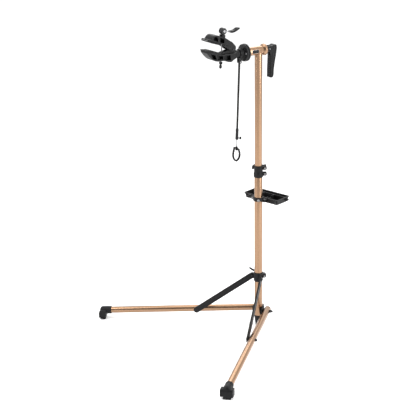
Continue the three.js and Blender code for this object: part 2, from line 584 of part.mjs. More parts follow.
/** Fixed jaw with the arm, moving jaw on its hinge, pads, and the clamping rod with its cam lever. */
function buildClamp(head, face, nut) {
  const [hx, hz] = JAW_HINGE;
  const start = face + 7;
  const [rodX, rodLean] = CLAMP_ROD;
  const alongRod = (g) => g.rotateY(-rodLean).translate(rodX, 0, 0);
  const hingeHole = bar(4 + GAP, -40, 40, 'y', 12, 0).translate(hx, 0, hz);
  const tongue = 14;
  const fixedJaw = sidePlate([[138, 12], [214, 13], [222, 13, 4], [236, 19], [268, 30], [286, 32, 2],
    [297, 34, 1],
    [296, 28, 2], [280, 8, 8], [262, -8, 8], [240, -15, 6], [206, -15], [188, -23, 4], [166, -27, 4],
    [158, -20, 4], [138, -12, 4]], -JAW_HALF, JAW_HALF);
  const hingeBlock = sidePlate([[136, 0], [136, 12], [hx - 12, hz + 4, 6], [hx - 3, hz + 11, 6],
    [hx + 9, hz + 9, 6],
    [hx + 13, hz - 2, 5], [hx + 40, 22, 6], [hx + 56, 18, 4], [hx + 56, 0]], -tongue, tongue);
  const arm = turned([[0, start], [ARM_R + 4, start], [ARM_R, start + 7], [ARM_R, 140], [ARM_R - 2, 160],
    [0, 160]],
    'x', 28);
  const pocket = (side) => sidePlate([[246, -6, 3], [254, 16, 3], [278, 24, 3], [266, 1, 3]],
    side > 0 ? JAW_HALF - 6 : -JAW_HALF - 5, side > 0 ? JAW_HALF + 5 : -JAW_HALF + 6);
  piece(head, 'fixed_jaw', {
    add: [fixedJaw, hingeBlock, arm],
    cut: [hingeHole, alongRod(bar(3.4, -60, 60, 'z', 14, 0)), pocket(1), pocket(-1),
      turned([[0, start - 5], [SPINDLE_R + GAP, start - 5], [SPINDLE_R + GAP, nut - 4], [10.2, nut - 4],
        [10.2, nut + 16], [0, nut + 16]], 'x', 20)],
  }, 'black');
  piece(head, 'fixed_jaw_pad', {
    add: [sidePlate([[224, 14 + GAP], [237, 19.4 + GAP], [268, 30.4 + GAP], [286, 32.4 + GAP],
      [297, 34.4 + GAP],
      [297, 40, 1], [286, 39], [268, 37], [236, 26], [222, 21, 2]], -JAW_HALF - 2, JAW_HALF + 2)],
  }, 'rubber');

  const cheek = (side) => sidePlate([[hx - 12, hz - 7, 6], [hx - 15, hz + 12, 5], [hx + 6, hz + 34],
    [hx + 44, hz + 58],
    [hx + 60, hz + 40], [hx + 48, hz + 20], [hx + 12, hz - 7, 8]],
  side > 0 ? tongue + 0.6 : -JAW_HALF + 2, side > 0 ? JAW_HALF - 2 : -tongue - 0.6);
  const movingJaw = sidePlate([[hx + 6, 62, 4], [hx + 45, 84, 10], [228, 98, 8], [254, 104, 8], [268, 96, 6],
    [276, 86, 3], [291, 90, 1], [291, 85], [270, 77], [224, 62], [198, 53],
      [178, 47, 5]], -JAW_HALF, JAW_HALF);
  const slot = alongRod(block([-11, -3.6, 30], [18, 3.6, 130]));
  const jawPocket = (side) => sidePlate([[236, 71, 3], [239, 92, 3], [256, 97, 3], [264, 84, 3]],
    side > 0 ? JAW_HALF - 6 : -JAW_HALF - 5, side > 0 ? JAW_HALF + 5 : -JAW_HALF + 6);
  piece(head, 'moving_jaw', {
    add: [movingJaw, cheek(1), cheek(-1), alongRod(block([-8, -12, 80], [8, 12, 96.5]))],
    cut: [hingeHole, slot, jawPocket(1), jawPocket(-1)],
  }, 'black');
  piece(head, 'moving_jaw_pad', {
    add: [sidePlate([[224, 61.6 - GAP], [270, 76.6 - GAP], [291, 84.6 - GAP], [291, 79, 1], [270, 70],
      [224, 55, 1]],
      -JAW_HALF - 2, JAW_HALF + 2)],
  }, 'rubber');
  piece(head, 'jaw_hinge_pin', bar(4, -JAW_HALF - 1, JAW_HALF + 1, 'y', 14).translate(hx, 0, hz), 'steel');

  const rod = group(head, { at: [rodX, 0, 0], turnY: -rodLean });
  const camZ = 112;
  piece(rod, 'clamp_rod', {
    add: [bar(2.6, -64, camZ + 6, 'z', 12), bar(5, camZ - 7, camZ + 7, 'z', 12),
      bar(3, -15.5, 15.5, 'y', 12).translate(0, 0, camZ)],
  }, 'steel');
  piece(rod, 'adjusting_nut', turned([[2.9, -60], [5, -60], [6, -58], [6, -50], [4.6, -48], [4.6, -42],
    [7.5, -40],
    [7.5, -32], [2.9, -32], [2.9, -60]], 'z', 16), 'black');
  piece(rod, 'clamp_cam', {
    add: [bar(14.5, -12, 12, 'y', 28, 1.5)],
    cut: [block([-5.4, -5.4, -20], [5.4, 5.4, 20]), bar(3 + GAP, -20, 20, 'y', 12, 0)],
  }, 'black').position.set(0, 0, camZ);
  const armOf = (side) => swept([[-4.8, side * 14.2, camZ], [-16, side * 14, camZ - 1],
    [-28, side * 8, camZ - 3],
    [-40, side * 5, camZ - 4]], circle(1.7, 6), 8);
  piece(rod, 'clamp_lever_fork', {
    add: [armOf(1), armOf(-1), pipe(6, 3 + GAP, 12.5, 15, 'y', 14).translate(0, 0, camZ),
      pipe(6, 3 + GAP, -15, -12.5, 'y', 14).translate(0, 0, camZ),
        bar(2, -6, 6, 'y', 8).translate(-40, 0, camZ - 4)],
  }, 'steel');
  piece(rod, 'clamp_lever_grip', {
    add: [sidePlate([[-36, camZ - 8, 3], [-36, camZ, 3], [-56, camZ + 2, 8], [-74, camZ + 13, 4],
      [-88, camZ + 13, 2],
      [-84, camZ + 7, 3], [-66, camZ - 4, 10], [-50, camZ - 9, 6]], -9, 9)],
    cut: [block([-45, -8, camZ - 6.5], [-30, 8, camZ - 1.6])],
  }, 'black');
}

/** Hanger on the arm with the telescopic rod that steadies the bicycle's front wheel. */
function buildStabiliser(head) {
  const [px, pz] = HANGER_PIN;
  piece(head, 'rod_hanger', {
    add: [pipe(ARM_R + 5, ARM_R + GAP, px - 13, px + 4.5, 'x', 28),
      block([px - 7, -9, -ARM_R - 12], [px + 4.5, 9, -ARM_R - 2]),
      ...[[5.3, 9], [-9, -5.3]].map(([a, b]) => link([px, -20], [px, pz], 7, a, b))],
    cut: [bar(ARM_R + GAP, px - 20, px + 10, 'x', 28, 0),
      bar(2.5 + GAP, -12, 12, 'y', 12, 0).translate(px, 0, pz),
      block([px - 8, -5.3, pz - 8], [px + 8, 5.3, -ARM_R - 8])],
  }, 'black');
  piece(head, 'hanger_pin', bar(2.5, -10, 10, 'y', 12).translate(px, 0, pz), 'steel');
  const rod = group(head, { at: [px, 0, pz], turnY: -ROD_TILT });
  piece(rod, 'stabiliser_tube', {
    add: [pipe(4.8, 3.2, -312, -4, 'z', 14), bar(5.5, -4.8, 4.8, 'y', 14, 0.5)],
    cut: [bar(2.5 + GAP, -8, 8, 'y', 12, 0), bar(3.2, -300, -9, 'z', 14, 0)],
  }, 'black');
  piece(rod, 'stabiliser_sleeve', {
    add: [turned([[5.1, -306], [6.2, -306], [7.6, -312], [7, -322], [7.3, -350], [7.3, -356], [5.8, -358],
      [2.6, -358],
      [2.6, -313], [5.1, -313], [5.1, -306]], 'z', 18)],
    cut: [bar(2 + GAP, 2, 12, 'x', 10, 0).rotateZ(KNOB_TURN).translate(0, 0, -350)],
  }, 'black');
  piece(rod, 'stabiliser_knob', turned([[0, 3], [2, 3], [2, 12], [5.5, 12.4], [6.8, 14], [6.8, 19],
    [5.4, 20.6], [0, 20.6]],
    'x', 16).rotateZ(KNOB_TURN).translate(0, 0, -350), 'black');
  piece(rod, 'stabiliser_rod', bar(2.2, -396, -60, 'z', 12), 'steel');
  const hook = swept([[-1, 0, -400], [-11, 0, -405], [-18, 0, -424], [-16, 0, -444], [-2, 0, -457],
    [12, 0, -448],
    [18, 0, -430], [16, 0, -409], [11, 0, -390]], rounded([[-4, -4, 1], [4, -4, 1], [4, 4, 1],
      [-4, 4, 1]]), 20);
  piece(rod, 'stabiliser_hook', {
    add: [hook, bar(4.5, -408, -390, 'z', 14)],
    cut: [bar(2.2 + GAP, -396 - GAP, -380, 'z', 12, 0)],
  }, 'black');
}

buildMast();
buildLegBracket();
buildLeg('left', -1);
buildLeg('right', 1);
buildLowCollar();
buildMidCollar();
buildTray();
buildHead();

// the origin goes to the middle of the underside of the whole stand's box
const box = new THREE.Box3().setFromObject(stand);
const middle = box.getCenter(new THREE.Vector3());
for (const child of stand.children) child.position.sub(new THREE.Vector3(middle.x, middle.y, box.min.z));

export default stand;
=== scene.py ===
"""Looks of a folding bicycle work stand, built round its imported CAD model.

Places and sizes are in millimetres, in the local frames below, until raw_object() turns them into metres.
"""
import math

import bmesh
import bpy
from mathutils import Matrix, Vector


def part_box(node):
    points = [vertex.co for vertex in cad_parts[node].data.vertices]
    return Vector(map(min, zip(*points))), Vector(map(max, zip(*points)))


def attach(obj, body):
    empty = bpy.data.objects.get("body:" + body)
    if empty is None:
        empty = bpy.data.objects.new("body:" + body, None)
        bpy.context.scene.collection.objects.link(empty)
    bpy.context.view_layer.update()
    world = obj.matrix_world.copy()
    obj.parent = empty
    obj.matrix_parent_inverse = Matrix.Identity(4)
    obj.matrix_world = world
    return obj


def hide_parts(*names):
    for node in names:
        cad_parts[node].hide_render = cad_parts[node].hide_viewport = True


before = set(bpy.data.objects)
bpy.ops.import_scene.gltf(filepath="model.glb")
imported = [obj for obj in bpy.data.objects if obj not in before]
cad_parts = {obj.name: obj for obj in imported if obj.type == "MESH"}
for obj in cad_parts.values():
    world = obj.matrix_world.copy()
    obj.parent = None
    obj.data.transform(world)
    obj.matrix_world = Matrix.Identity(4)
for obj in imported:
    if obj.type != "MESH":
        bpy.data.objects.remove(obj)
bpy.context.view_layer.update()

# ---------- frames ----------
MM = 0.001
DEG = math.pi / 180
GAP = 0.3


def move(x, y, z):
    return Matrix.Translation((x, y, z))


def turn_y(angle):
    return Matrix.Rotation(angle, 4, "Y")


def turn_z(angle):
    return Matrix.Rotation(angle, 4, "Z")


def span_of(node):
    """Lowest and highest corner of a CAD node, in millimetres."""
    low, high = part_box(node)
    return low / MM, high / MM


tube_low, tube_high = span_of("lower_mast_tube")
upper_low, _ = span_of("upper_mast_tube")
head_low, head_high = span_of("head_tube")
AXIS_X = (tube_low.x + tube_high.x) / 2
HEAD_Z = (head_low.z + head_high.z) / 2
LOWER_R, UPPER_R, LEG_R, WALL = 19, 17.2, 16, 1.4
LEG_SPREAD, LEG_LENGTH, LEG_OFFSET = 40 * DEG, 765, 41
LEG_PIVOT_Z, FOOT_AXIS_Z = 79.5, 42
LEG_SLOPE = math.asin((LEG_PIVOT_Z - FOOT_AXIS_Z) / LEG_LENGTH)
BRACE_ALONG, BRACE_Y, BRACE_HALF = 301, 19.3, 14
COLLAR_PIVOT = (31, 253)
ROD_X, ROD_LEAN, ROD_TILT = 205, 5 * DEG, 2.6 * DEG
HANGER = (106, -38)
CAM_Z = 112

ROOT = move(AXIS_X, 0, 0)
EARS = ROOT @ turn_z(-34.5 * DEG)
TRAY = ROOT @ turn_z(13.5 * DEG)
HEAD = ROOT @ move(0, 0, HEAD_Z) @ turn_z(math.pi)
ROD = HEAD @ move(ROD_X, 0, 0) @ turn_y(-ROD_LEAN)
STAY = HEAD @ move(HANGER[0], 0, HANGER[1]) @ turn_y(-ROD_TILT)


def leg_frames(side):
    """(frame whose x runs out along the floor, frame along the leg's axis) for one leg."""
    flat = ROOT @ turn_z(math.pi + side * LEG_SPREAD)
    return flat, flat @ move(0, side * LEG_OFFSET, LEG_PIVOT_Z) @ turn_y(LEG_SLOPE)


# ---------- camera and light ----------
CAMERA_AT = ROOT @ Vector((-3404.4, -4531.4, 2586.5))
LOOK_AT = ROOT @ Vector((-194.1, 133.6, 603.45))
CAMERA_ROLL = -0.77 * DEG
LENS = 111.0


def aim(position, target, roll=0.0):
    """Matrix in metres of something at position whose -Z looks at target."""
    back = (position - target).normalized()
    right = Vector((0, 0, 1)).cross(back).normalized()
    turn = Matrix((right, back.cross(right), back)).transposed().to_4x4()
    return Matrix.Translation(position * MM) @ turn @ Matrix.Rotation(roll, 4, "Z")


def make_camera():
    data = bpy.data.cameras.new("camera")
    data.lens, data.clip_end = LENS, 100
    camera = bpy.data.objects.new("camera", data)
    camera.matrix_world = aim(CAMERA_AT, LOOK_AT, CAMERA_ROLL)
    bpy.context.scene.collection.objects.link(camera)
    bpy.context.scene.camera = camera


def make_lights():
    toward = (CAMERA_AT - LOOK_AT).normalized()
    toward.z = 0
    toward.normalize()
    right = Vector((0, 0, 1)).cross(toward)
    up = Vector((0, 0, 1))
    # name, right, towards the camera, up (metres from the middle of the stand), width, height, watts
    boxes = (
        ("left_box", -2.6, 1.3, 1.5, 0.9, 3.4, 70),
        ("right_box", 2.5, 1.6, 1.3, 0.7, 3.4, 90),
        ("top_box", -0.3, 0.2, 3.6, 3.4, 3.4, 60),
        ("back_box", 0.8, -3.2, 2.8, 3.0, 2.0, 60),
    )
    for name, across, near, high, wide, tall, watts in boxes:
        data = bpy.data.lights.new(name, "AREA")
        data.shape, data.size, data.size_y, data.energy = "RECTANGLE", wide, tall, watts
        light = bpy.data.objects.new(name, data)
        spot = LOOK_AT + (right * across + toward * near + up * high) / MM
        light.matrix_world = aim(spot, LOOK_AT + up * 100)
        bpy.context.scene.collection.objects.link(light)
    world = bpy.data.worlds.new("studio")
    world.use_nodes = True
    nodes, links = world.node_tree.nodes, world.node_tree.links
    back = nodes["Background"]
    back.inputs["Color"].default_value = (1, 1, 1, 1)
    # the room is darker on the viewer's side, which puts a dark stripe down the middle of each tube
    facing = nodes.new("ShaderNodeVectorMath")
    facing.operation = "DOT_PRODUCT"
    facing.inputs[1].default_value = (CAMERA_AT - LOOK_AT).normalized()
    links.new(nodes.new("ShaderNodeTexCoord").outputs["Generated"], facing.inputs[0])
    dim = nodes.new("ShaderNodeMapRange")
    dim.inputs["From Min"].default_value, dim.inputs["From Max"].default_value = 0.45, 0.92
    dim.inputs["To Min"].default_value, dim.inputs["To Max"].default_value = 1.3, 0.35
    links.new(facing.outputs["Value"], dim.inputs["Value"])
    links.new(dim.outputs["Result"], back.inputs["Strength"])
    bpy.context.scene.world = world
    bpy.context.scene.view_settings.view_transform = "Standard"


def make_floor():
    half = 40
    mesh = bpy.data.meshes.new("floor")
    mesh.from_pydata([(-half, -half, 0), (half, -half, 0), (half, half, 0), (-half, half, 0)], [],
                     [(0, 1, 2, 3)])
    floor = bpy.data.objects.new("floor", mesh)
    material = bpy.data.materials.new("floor")
    material.use_nodes = True
    shader = material.node_tree.nodes["Principled BSDF"]
    shader.inputs["Base Color"].default_value = (0.93, 0.93, 0.93, 1)
    shader.inputs["Roughness"].default_value = 0.9
    mesh.materials.append(material)
    bpy.context.scene.collection.objects.link(floor)


# ---------- materials ----------

def surface(name, colour, rough, metal=0.0, spread=0.12, patch=14, along=None, streak=1.0,
            grain=0.0, grain_scale=1800, rough_spread=0.08, specular=0.5, coat=0.0):
    """A material whose colour and gloss vary in patches, with a fine grain.

    spread is how far the colour varies, patch the patches per metre. A metal drawn along a direction has
    that frame in along, and its patches are stretched by streak.
    """
    material = bpy.data.materials.new(name)
    material.use_nodes = True
    nodes, links = material.node_tree.nodes, material.node_tree.links
    shader = nodes["Principled BSDF"]
    shader.inputs["Metallic"].default_value = metal
    shader.inputs["Specular IOR Level"].default_value = specular
    shader.inputs["Coat Weight"].default_value = coat
    place_in = nodes.new("ShaderNodeTexCoord").outputs["Object"]
    if along is not None:
        turned_by = nodes.new("ShaderNodeMapping")
        turned_by.inputs["Rotation"].default_value = along.to_3x3().inverted().to_euler()
        links.new(place_in, turned_by.inputs["Vector"])
        stretch = nodes.new("ShaderNodeMapping")
        stretch.inputs["Scale"].default_value = (1 / streak, 1, 1)
        links.new(turned_by.outputs["Vector"], stretch.inputs["Vector"])
        place_in = stretch.outputs["Vector"]

    def noise(scale, detail):
        node = nodes.new("ShaderNodeTexNoise")
        node.inputs["Scale"].default_value = scale
        node.inputs["Detail"].default_value = detail
        links.new(place_in, node.inputs["Vector"])
        return node.outputs["Fac"]

    ramp = nodes.new("ShaderNodeValToRGB")
    ramp.color_ramp.elements[0].position, ramp.color_ramp.elements[1].position = 0.3, 0.7
    ramp.color_ramp.elements[0].color = (*[c * (1 - spread) for c in colour], 1)
    ramp.color_ramp.elements[1].color = (*[min(1, c * (1 + spread)) for c in colour], 1)
    links.new(noise(patch, 5), ramp.inputs["Fac"])
    links.new(ramp.outputs["Color"], shader.inputs["Base Color"])
    gloss = nodes.new("ShaderNodeMapRange")
    gloss.inputs["To Min"].default_value = max(0.05, rough - rough_spread)
    gloss.inputs["To Max"].default_value = rough + rough_spread
    links.new(noise(patch * 2.7, 4), gloss.inputs["Value"])
    links.new(gloss.outputs["Result"], shader.inputs["Roughness"])
    if grain:
        bump = nodes.new("ShaderNodeBump")
        bump.inputs["Strength"].default_value = grain
        bump.inputs["Distance"].default_value = 0.0002
        links.new(noise(grain_scale, 2), bump.inputs["Height"])
        links.new(bump.outputs["Normal"], shader.inputs["Normal"])
    return material


GOLD = (0.315, 0.196, 0.122)
BLACK = (0.007, 0.007, 0.0075)
UPRIGHT = turn_y(-math.pi / 2)        # turns a frame's x to point up


def gold(name, along):
    return surface(name, GOLD, 0.24, metal=1.0, spread=0.05, patch=60, along=along, streak=30,
                   grain=0.12, grain_scale=900, rough_spread=0.05)


PLASTIC = surface("moulded_black", BLACK, 0.42, spread=0.25, patch=30, grain=0.25, rough_spread=0.07,
                  specular=0.14)
SATIN = surface("satin_black", (0.012, 0.012, 0.013), 0.34, spread=0.2, patch=20, grain=0.12,
                rough_spread=0.06, specular=0.2)
GREY = surface("moulded_grey", (0.05, 0.05, 0.053), 0.5, spread=0.15, patch=30, grain=0.2)
PAINT = surface("black_powder_coat", (0.009, 0.009, 0.0095), 0.40, spread=0.15, patch=25, grain=0.5,
                grain_scale=700, specular=0.15)
RUBBER = surface("black_rubber", (0.009, 0.009, 0.009), 0.78, spread=0.3, patch=40, grain=0.5,
                 grain_scale=1400, specular=0.3)
STEEL = surface("zinc_plated", (0.22, 0.22, 0.225), 0.28, metal=1.0, spread=0.08, patch=50, grain=0.1)
DARK_STEEL = surface("black_oxide", (0.03, 0.03, 0.032), 0.36, metal=0.7, spread=0.2, patch=60, grain=0.15)
BADGE = surface("badge_film", (0.010, 0.010, 0.012), 0.45, spread=0.1, patch=10, specular=0.15)
TRIM = surface("badge_border", (0.5, 0.5, 0.5), 0.35, metal=0.8, spread=0.05, patch=30)
MAST_GOLD = gold("gold_mast", UPRIGHT)
HEAD_GOLD = gold("gold_head", Matrix.Identity(4))

# ---------- shapes: (corner points, faces), in millimetres ----------

def soften(rows, radius, closed=False, steps=3):
    """Rounds the corners of a polyline; its points may carry further values. Open ends stay as they are."""
    out = []
    count = len(rows)
    for i, row in enumerate(rows):
        if not closed and i in (0, count - 1):
            out.append(row)
            continue
        here = Vector(row[:2])
        sides = [Vector(rows[(i + k) % count][:2]) - here for k in (-1, 1)]
        reach = min(radius, *(0.45 * s.length for s in sides))
        if reach < 1e-3:
            out.append(row)
            continue
        a, b = (here + s.normalized() * reach for s in sides)
        for k in range(steps + 1):
            t = k / steps
            p = a * (1 - t) ** 2 + here * 2 * t * (1 - t) + b * t * t
            out.append((p.x, p.y, *row[2:]))
    return out


def lathe(rows, axis="z", sides=72, edge=0.5, waves=0):
    """A solid of revolution. Rows are (radius, place along the axis, flute depth, tooth depth)."""
    closed = tuple(rows[0][:2]) == tuple(rows[-1][:2])
    rows = soften(rows[:-1] if closed else rows, edge, closed)
    points, faces, rings = [], [], []
    for radius, place, *depths in rows:
        flute, tooth = (list(depths) + [0, 0])[:2]
        if radius < 1e-6:
            rings.append([len(points)])
            points.append((0, 0, place))
            continue
        rings.append([len(points) + k for k in range(sides)])
        for k in range(sides):
            angle = 2 * math.pi * k / sides
            wave = math.cos(waves * angle)
            r = radius + flute * wave
            points.append((r * math.cos(angle), r * math.sin(angle), place + tooth * wave))
    pairs = list(zip(rings, rings[1:])) + ([(rings[-1], rings[0])] if closed else [])
    for a, b in pairs:
        for k in range(sides):
            k1 = (k + 1) % sides
            if len(a) == 1 and len(b) == 1:
                continue
            if len(a) == 1:
                faces.append((a[0], b[k1], b[k]))
            elif len(b) == 1:
                faces.append((a[k], a[k1], b[0]))
            else:
                faces.append((a[k], a[k1], b[k1], b[k]))
    order = {"z": (0, 1, 2), "x": (2, 0, 1), "y": (1, 2, 0)}[axis]
    return [tuple(p[i] for i in order) for p in points], faces


def bar(r, a, b, axis="z", sides=48, edge=0.5):
    a, b = min(a, b), max(a, b)
    return lathe([(0, a), (r, a), (r, b), (0, b)], axis, sides, edge)


def pipe(outer, inner, a, b, axis="z", sides=96, edge=0.4):
    return lathe([(inner, a), (outer, a), (outer, b), (inner, b), (inner, a)], axis, sides, edge)


def rounded(corners, steps=6):
    """An outline whose corners (x, y, radius) are rounded."""
    out = []
    count = len(corners)
    for i, (x, y, *rest) in enumerate(corners):
        here = Vector((x, y))
        radius = rest[0] if rest else 0.6
        sides = [Vector(corners[(i + k) % count][:2]) - here for k in (-1, 1)]
        a, b = (here + s.normalized() * min(radius, 0.45 * s.length) for s in sides)
        for k in range(steps + 1):
            t = k / steps
            p = a * (1 - t) ** 2 + here * 2 * t * (1 - t) + b * t * t
            out.append((p.x, p.y))
    return out


def plate(outline, a, b, plane="xz"):
    """An outline in a plane, spread from a to b across it."""
    n = len(outline)
    to3 = {"xz": lambda p, d: (p[0], d, p[1]), "xy": lambda p, d: (p[0], p[1], d),
           "yz": lambda p, d: (d, p[0], p[1])}
    points = [to3[plane](p, d) for d in (a, b) for p in outline]
    sides = [(k, (k + 1) % n, n + (k + 1) % n, n + k) for k in range(n)]
    return points, [tuple(range(n)), tuple(range(2 * n - 1, n - 1, -1))] + sides


def slab(corners, a, b, plane="xz"):
    """A plate whose corners are rounded."""
    return plate(rounded(corners), a, b, plane)


def block(low, high):
    (x0, y0, z0), (x1, y1, z1) = low, high
    return plate([(x0, y0), (x1, y0), (x1, y1), (x0, y1)], z0, z1, "xy")


def link(p, q, half, a, b, steps=18):
    """A flat bar with round ends between two points of the x-z plane."""
    turn = math.atan2(q[1] - p[1], q[0] - p[0])
    outline = []
    for centre, start in ((q, turn - math.pi / 2), (p, turn + math.pi / 2)):
        for k in range(steps + 1):
            t = start + math.pi * k / steps
            outline.append((centre[0] + half * math.cos(t), centre[1] + half * math.sin(t)))
    return plate(outline, a, b)


def smooth_path(points, per=8):
    """Points on a Catmull-Rom curve through the given ones."""
    pts = [Vector(p) for p in points]
    pts = [2 * pts[0] - pts[1]] + pts + [2 * pts[-1] - pts[-2]]
    out = []
    for a, b, c, d in zip(pts, pts[1:], pts[2:], pts[3:]):
        for k in range(per):
            t = k / per
            out.append(0.5 * (2 * b + (c - a) * t + (2 * a - 5 * b + 4 * c - d) * t * t
                              + (3 * b - a - 3 * c + d) * t ** 3))
    return out + [pts[-2]]


def swept(path, section, across=None, widen=None):
    """A section (u, v) carried along a path: u lies along across, v at right angles to it and the path."""
    points, faces = [], []
    count = len(section)
    side = Vector(across) if across else Vector((0.3, 0.9, 0.2))
    for i, p in enumerate(path):
        tangent = (path[min(i + 1, len(path) - 1)] - path[max(i - 1, 0)]).normalized()
        u = (side - tangent * side.dot(tangent)).normalized()
        if not across:
            side = u
        v = tangent.cross(u)
        k = widen(i / (len(path) - 1)) if widen else 1
        points += [tuple(p + u * a * k + v * b) for a, b in section]
    for i in range(len(path) - 1):
        for j in range(count):
            j1 = (j + 1) % count
            faces.append((i * count + j, i * count + j1, (i + 1) * count + j1, (i + 1) * count + j))
    last = (len(path) - 1) * count
    faces += [tuple(range(count)), tuple(range(last + count - 1, last - 1, -1))]
    return points, faces


def ring_section(r, sides=16):
    return [(r * math.cos(2 * math.pi * k / sides), r * math.sin(2 * math.pi * k / sides))
            for k in range(sides)]


def band_section(half, thick, steps=3):
    return rounded([(-half, -thick, thick), (half, -thick, thick), (half, thick, thick),
                    (-half, thick, thick)], steps)


def at(shape, matrix):
    points, faces = shape
    return [tuple(matrix @ Vector(p)) for p in points], faces


def mirrored(shape, side=-1):
    """The shape with y turned over when side is -1."""
    points, faces = shape
    return [(x, y * side, z) for x, y, z in points], faces


# ---------- pieces ----------

def raw_object(name, shape, matrix):
    points, faces = shape
    mesh = bpy.data.meshes.new(name)
    mesh.from_pydata([tuple((matrix @ Vector(p)) * MM) for p in points], [], faces)
    work = bmesh.new()
    work.from_mesh(mesh)
    bmesh.ops.remove_doubles(work, verts=work.verts, dist=1e-7)
    bmesh.ops.recalc_face_normals(work, faces=work.faces)
    work.to_mesh(mesh)
    work.free()
    thing = bpy.data.objects.new(name, mesh)
    bpy.context.scene.collection.objects.link(thing)
    return thing


def settle(thing):
    """Applies the object's modifiers."""
    bpy.context.view_layer.update()
    seen = thing.evaluated_get(bpy.context.evaluated_depsgraph_get())
    mesh = bpy.data.meshes.new_from_object(seen)
    thing.modifiers.clear()
    thing.data = mesh


def piece(name, body, material, matrix, add, cut=(), edge=0.5, skin=0, relax=5, sharp=38, node=None):
    """Joins shapes, cuts others away, rounds the edges and puts the piece on its body.

    edge is the width of the rounding. A moulding has skin instead: it is remeshed at that size and relaxed,
    so that its inner corners get fillets too. node is the CAD node that it stands for.
    """
    thing = raw_object(name, add[0], matrix)
    helpers = []
    for group, how in ((add[1:], "UNION"), (cut, "DIFFERENCE")):
        for shape in group:
            other = raw_object("helper", shape, matrix)
            helpers.append(other)
            join = thing.modifiers.new("join", "BOOLEAN")
            join.operation, join.solver, join.object = how, "MANIFOLD", other
    if skin:
        remesh = thing.modifiers.new("skin", "REMESH")
        remesh.mode, remesh.voxel_size = "VOXEL", skin * MM
        calm = thing.modifiers.new("calm", "SMOOTH")
        calm.factor, calm.iterations = 0.5, relax
        thin = thing.modifiers.new("thin", "DECIMATE")
        thin.ratio = 0.3
    elif edge:
        bevel = thing.modifiers.new("edge", "BEVEL")
        bevel.width, bevel.segments, bevel.limit_method, bevel.angle_limit = edge * MM, 2, "ANGLE", 40 * DEG
        bevel.use_clamp_overlap = True
    settle(thing)
    for other in helpers:
        bpy.data.objects.remove(other)
    thing.data.shade_smooth()
    thing.data.set_sharp_from_angle(angle=(80 if skin else sharp) * DEG)
    thing.data.materials.clear()
    thing.data.materials.append(material)
    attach(thing, body)
    if node is not None:
        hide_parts(*([node] if isinstance(node, str) else node))
    return thing


# ---------- mast ----------

def mast():
    z0, z1 = tube_low.z, tube_high.z
    inner = LOWER_R - WALL
    piece("lower_tube", "base", MAST_GOLD, ROOT, [pipe(LOWER_R, inner, z0, z1)], edge=0,
          node="lower_mast_tube")
    piece("upper_tube", "upper_mast", MAST_GOLD, ROOT,
          [pipe(UPPER_R, UPPER_R - WALL, upper_low.z, HEAD_Z)],
          [at(bar(19.5 + GAP, -40, 40, "x", 96, 0), move(0, 0, HEAD_Z))], edge=0, node="upper_mast_tube")
    rows = [(0, 0.8), (7, 0.8), (8, 0), (11, 0), (13, 3), (16, 26, 0.5), (18.6, z0 - 6, 0.5),
            (LOWER_R, z0 - 3), (LOWER_R, z0 - GAP), (inner - GAP, z0 - GAP), (inner - GAP, z0 + 22),
            (0, z0 + 22)]
    piece("mast_foot_plug", "base", PLASTIC, ROOT, [lathe(rows,
        "z", 120, 0.8, waves=20)], edge=0, node="mast_end_plug")
    head_weld()


def head_weld():
    """Rippled bead round the saddle where the upper tube meets the head tube."""
    steps, sides, reach, head_r = 96, 10, UPPER_R + 0.6, 19.9
    points, faces = [], []
    for k in range(steps):
        t = 2 * math.pi * k / steps
        out = Vector((math.cos(t), math.sin(t), 0))
        drop = math.sqrt(head_r ** 2 - (reach * out.y) ** 2)
        middle = out * reach + Vector((0, 0, HEAD_Z - drop - 0.4))
        thick = 1.25 + 0.18 * math.sin(k * math.pi / 2)
        for j in range(sides):
            a = 2 * math.pi * j / sides
            points.append(tuple(middle + (out * math.cos(a) + Vector((0, 0, math.sin(a)))) * thick))
            j1, k1 = (j + 1) % sides, (k + 1) % steps
            faces.append((k * sides + j, k * sides + j1, k1 * sides + j1, k1 * sides + j))
    piece("head_weld", "upper_mast", MAST_GOLD, ROOT, [(points, faces)], edge=0)


def half_ring(inner, outer, reach, z0, z1, steps=40):
    """Part of an upright ring, from -reach to reach round the z axis."""
    turns = [reach * (2 * k / steps - 1) for k in range(steps + 1)]
    outline = [(outer * math.cos(t), outer * math.sin(t)) for t in turns]
    outline += [(inner * math.cos(t), inner * math.sin(t)) for t in reversed(turns)]
    return plate(outline, z0, z1, "xy")


def leg_bracket():
    add = [half_ring(LOWER_R + GAP, LOWER_R + 4, 100 * DEG, 62, 97)]
    cut = []
    for side in (1, -1):
        turn = turn_z(math.pi + side * LEG_SPREAD)
        ear = slab([(-22, 62, 6), (30, 62, 12), (30, 98, 14), (-22, 98, 6)], 20.2, 24.3)
        rib = slab([(-14, 60, 2), (16, 60, 2), (12, 66, 2), (-10, 66, 2)], 19.6, 24.3)
        add += [at(mirrored(ear, side), turn), at(mirrored(rib, side), turn)]
        hole = at(bar(5 + GAP, 10, 40, "y", 32, 0), move(0, 0, LEG_PIVOT_Z))
        window = slab([(12, 72, 2), (23, 72, 3), (23, 88, 4), (12, 88, 2)], 22.6, 30)
        cut += [at(mirrored(hole, side), turn), at(mirrored(window, side), turn)]
    cut.append(bar(LOWER_R + GAP, 50, 110, "z", 96, 0))
    piece("mast_bracket", "base", PLASTIC, ROOT, add, cut, skin=0.7, node="leg_bracket")
    rivets = [at(lathe([(0, 22.6), (3.4, 22.6), (3.1, 24.2), (1.6, 25.1), (0, 25.3)], "x", 24, 0.4),
                 turn_z(a) @ move(0, 0, z)) for a in (-50 * DEG, 50 * DEG) for z in (70, 88)]
    piece("bracket_rivets", "base", STEEL, ROOT, rivets[:1], edge=0)
    for number, rivet in enumerate(rivets[1:], 2):
        piece(f"bracket_rivet_{number}", "base", STEEL, ROOT, [rivet], edge=0)


# ---------- legs ----------

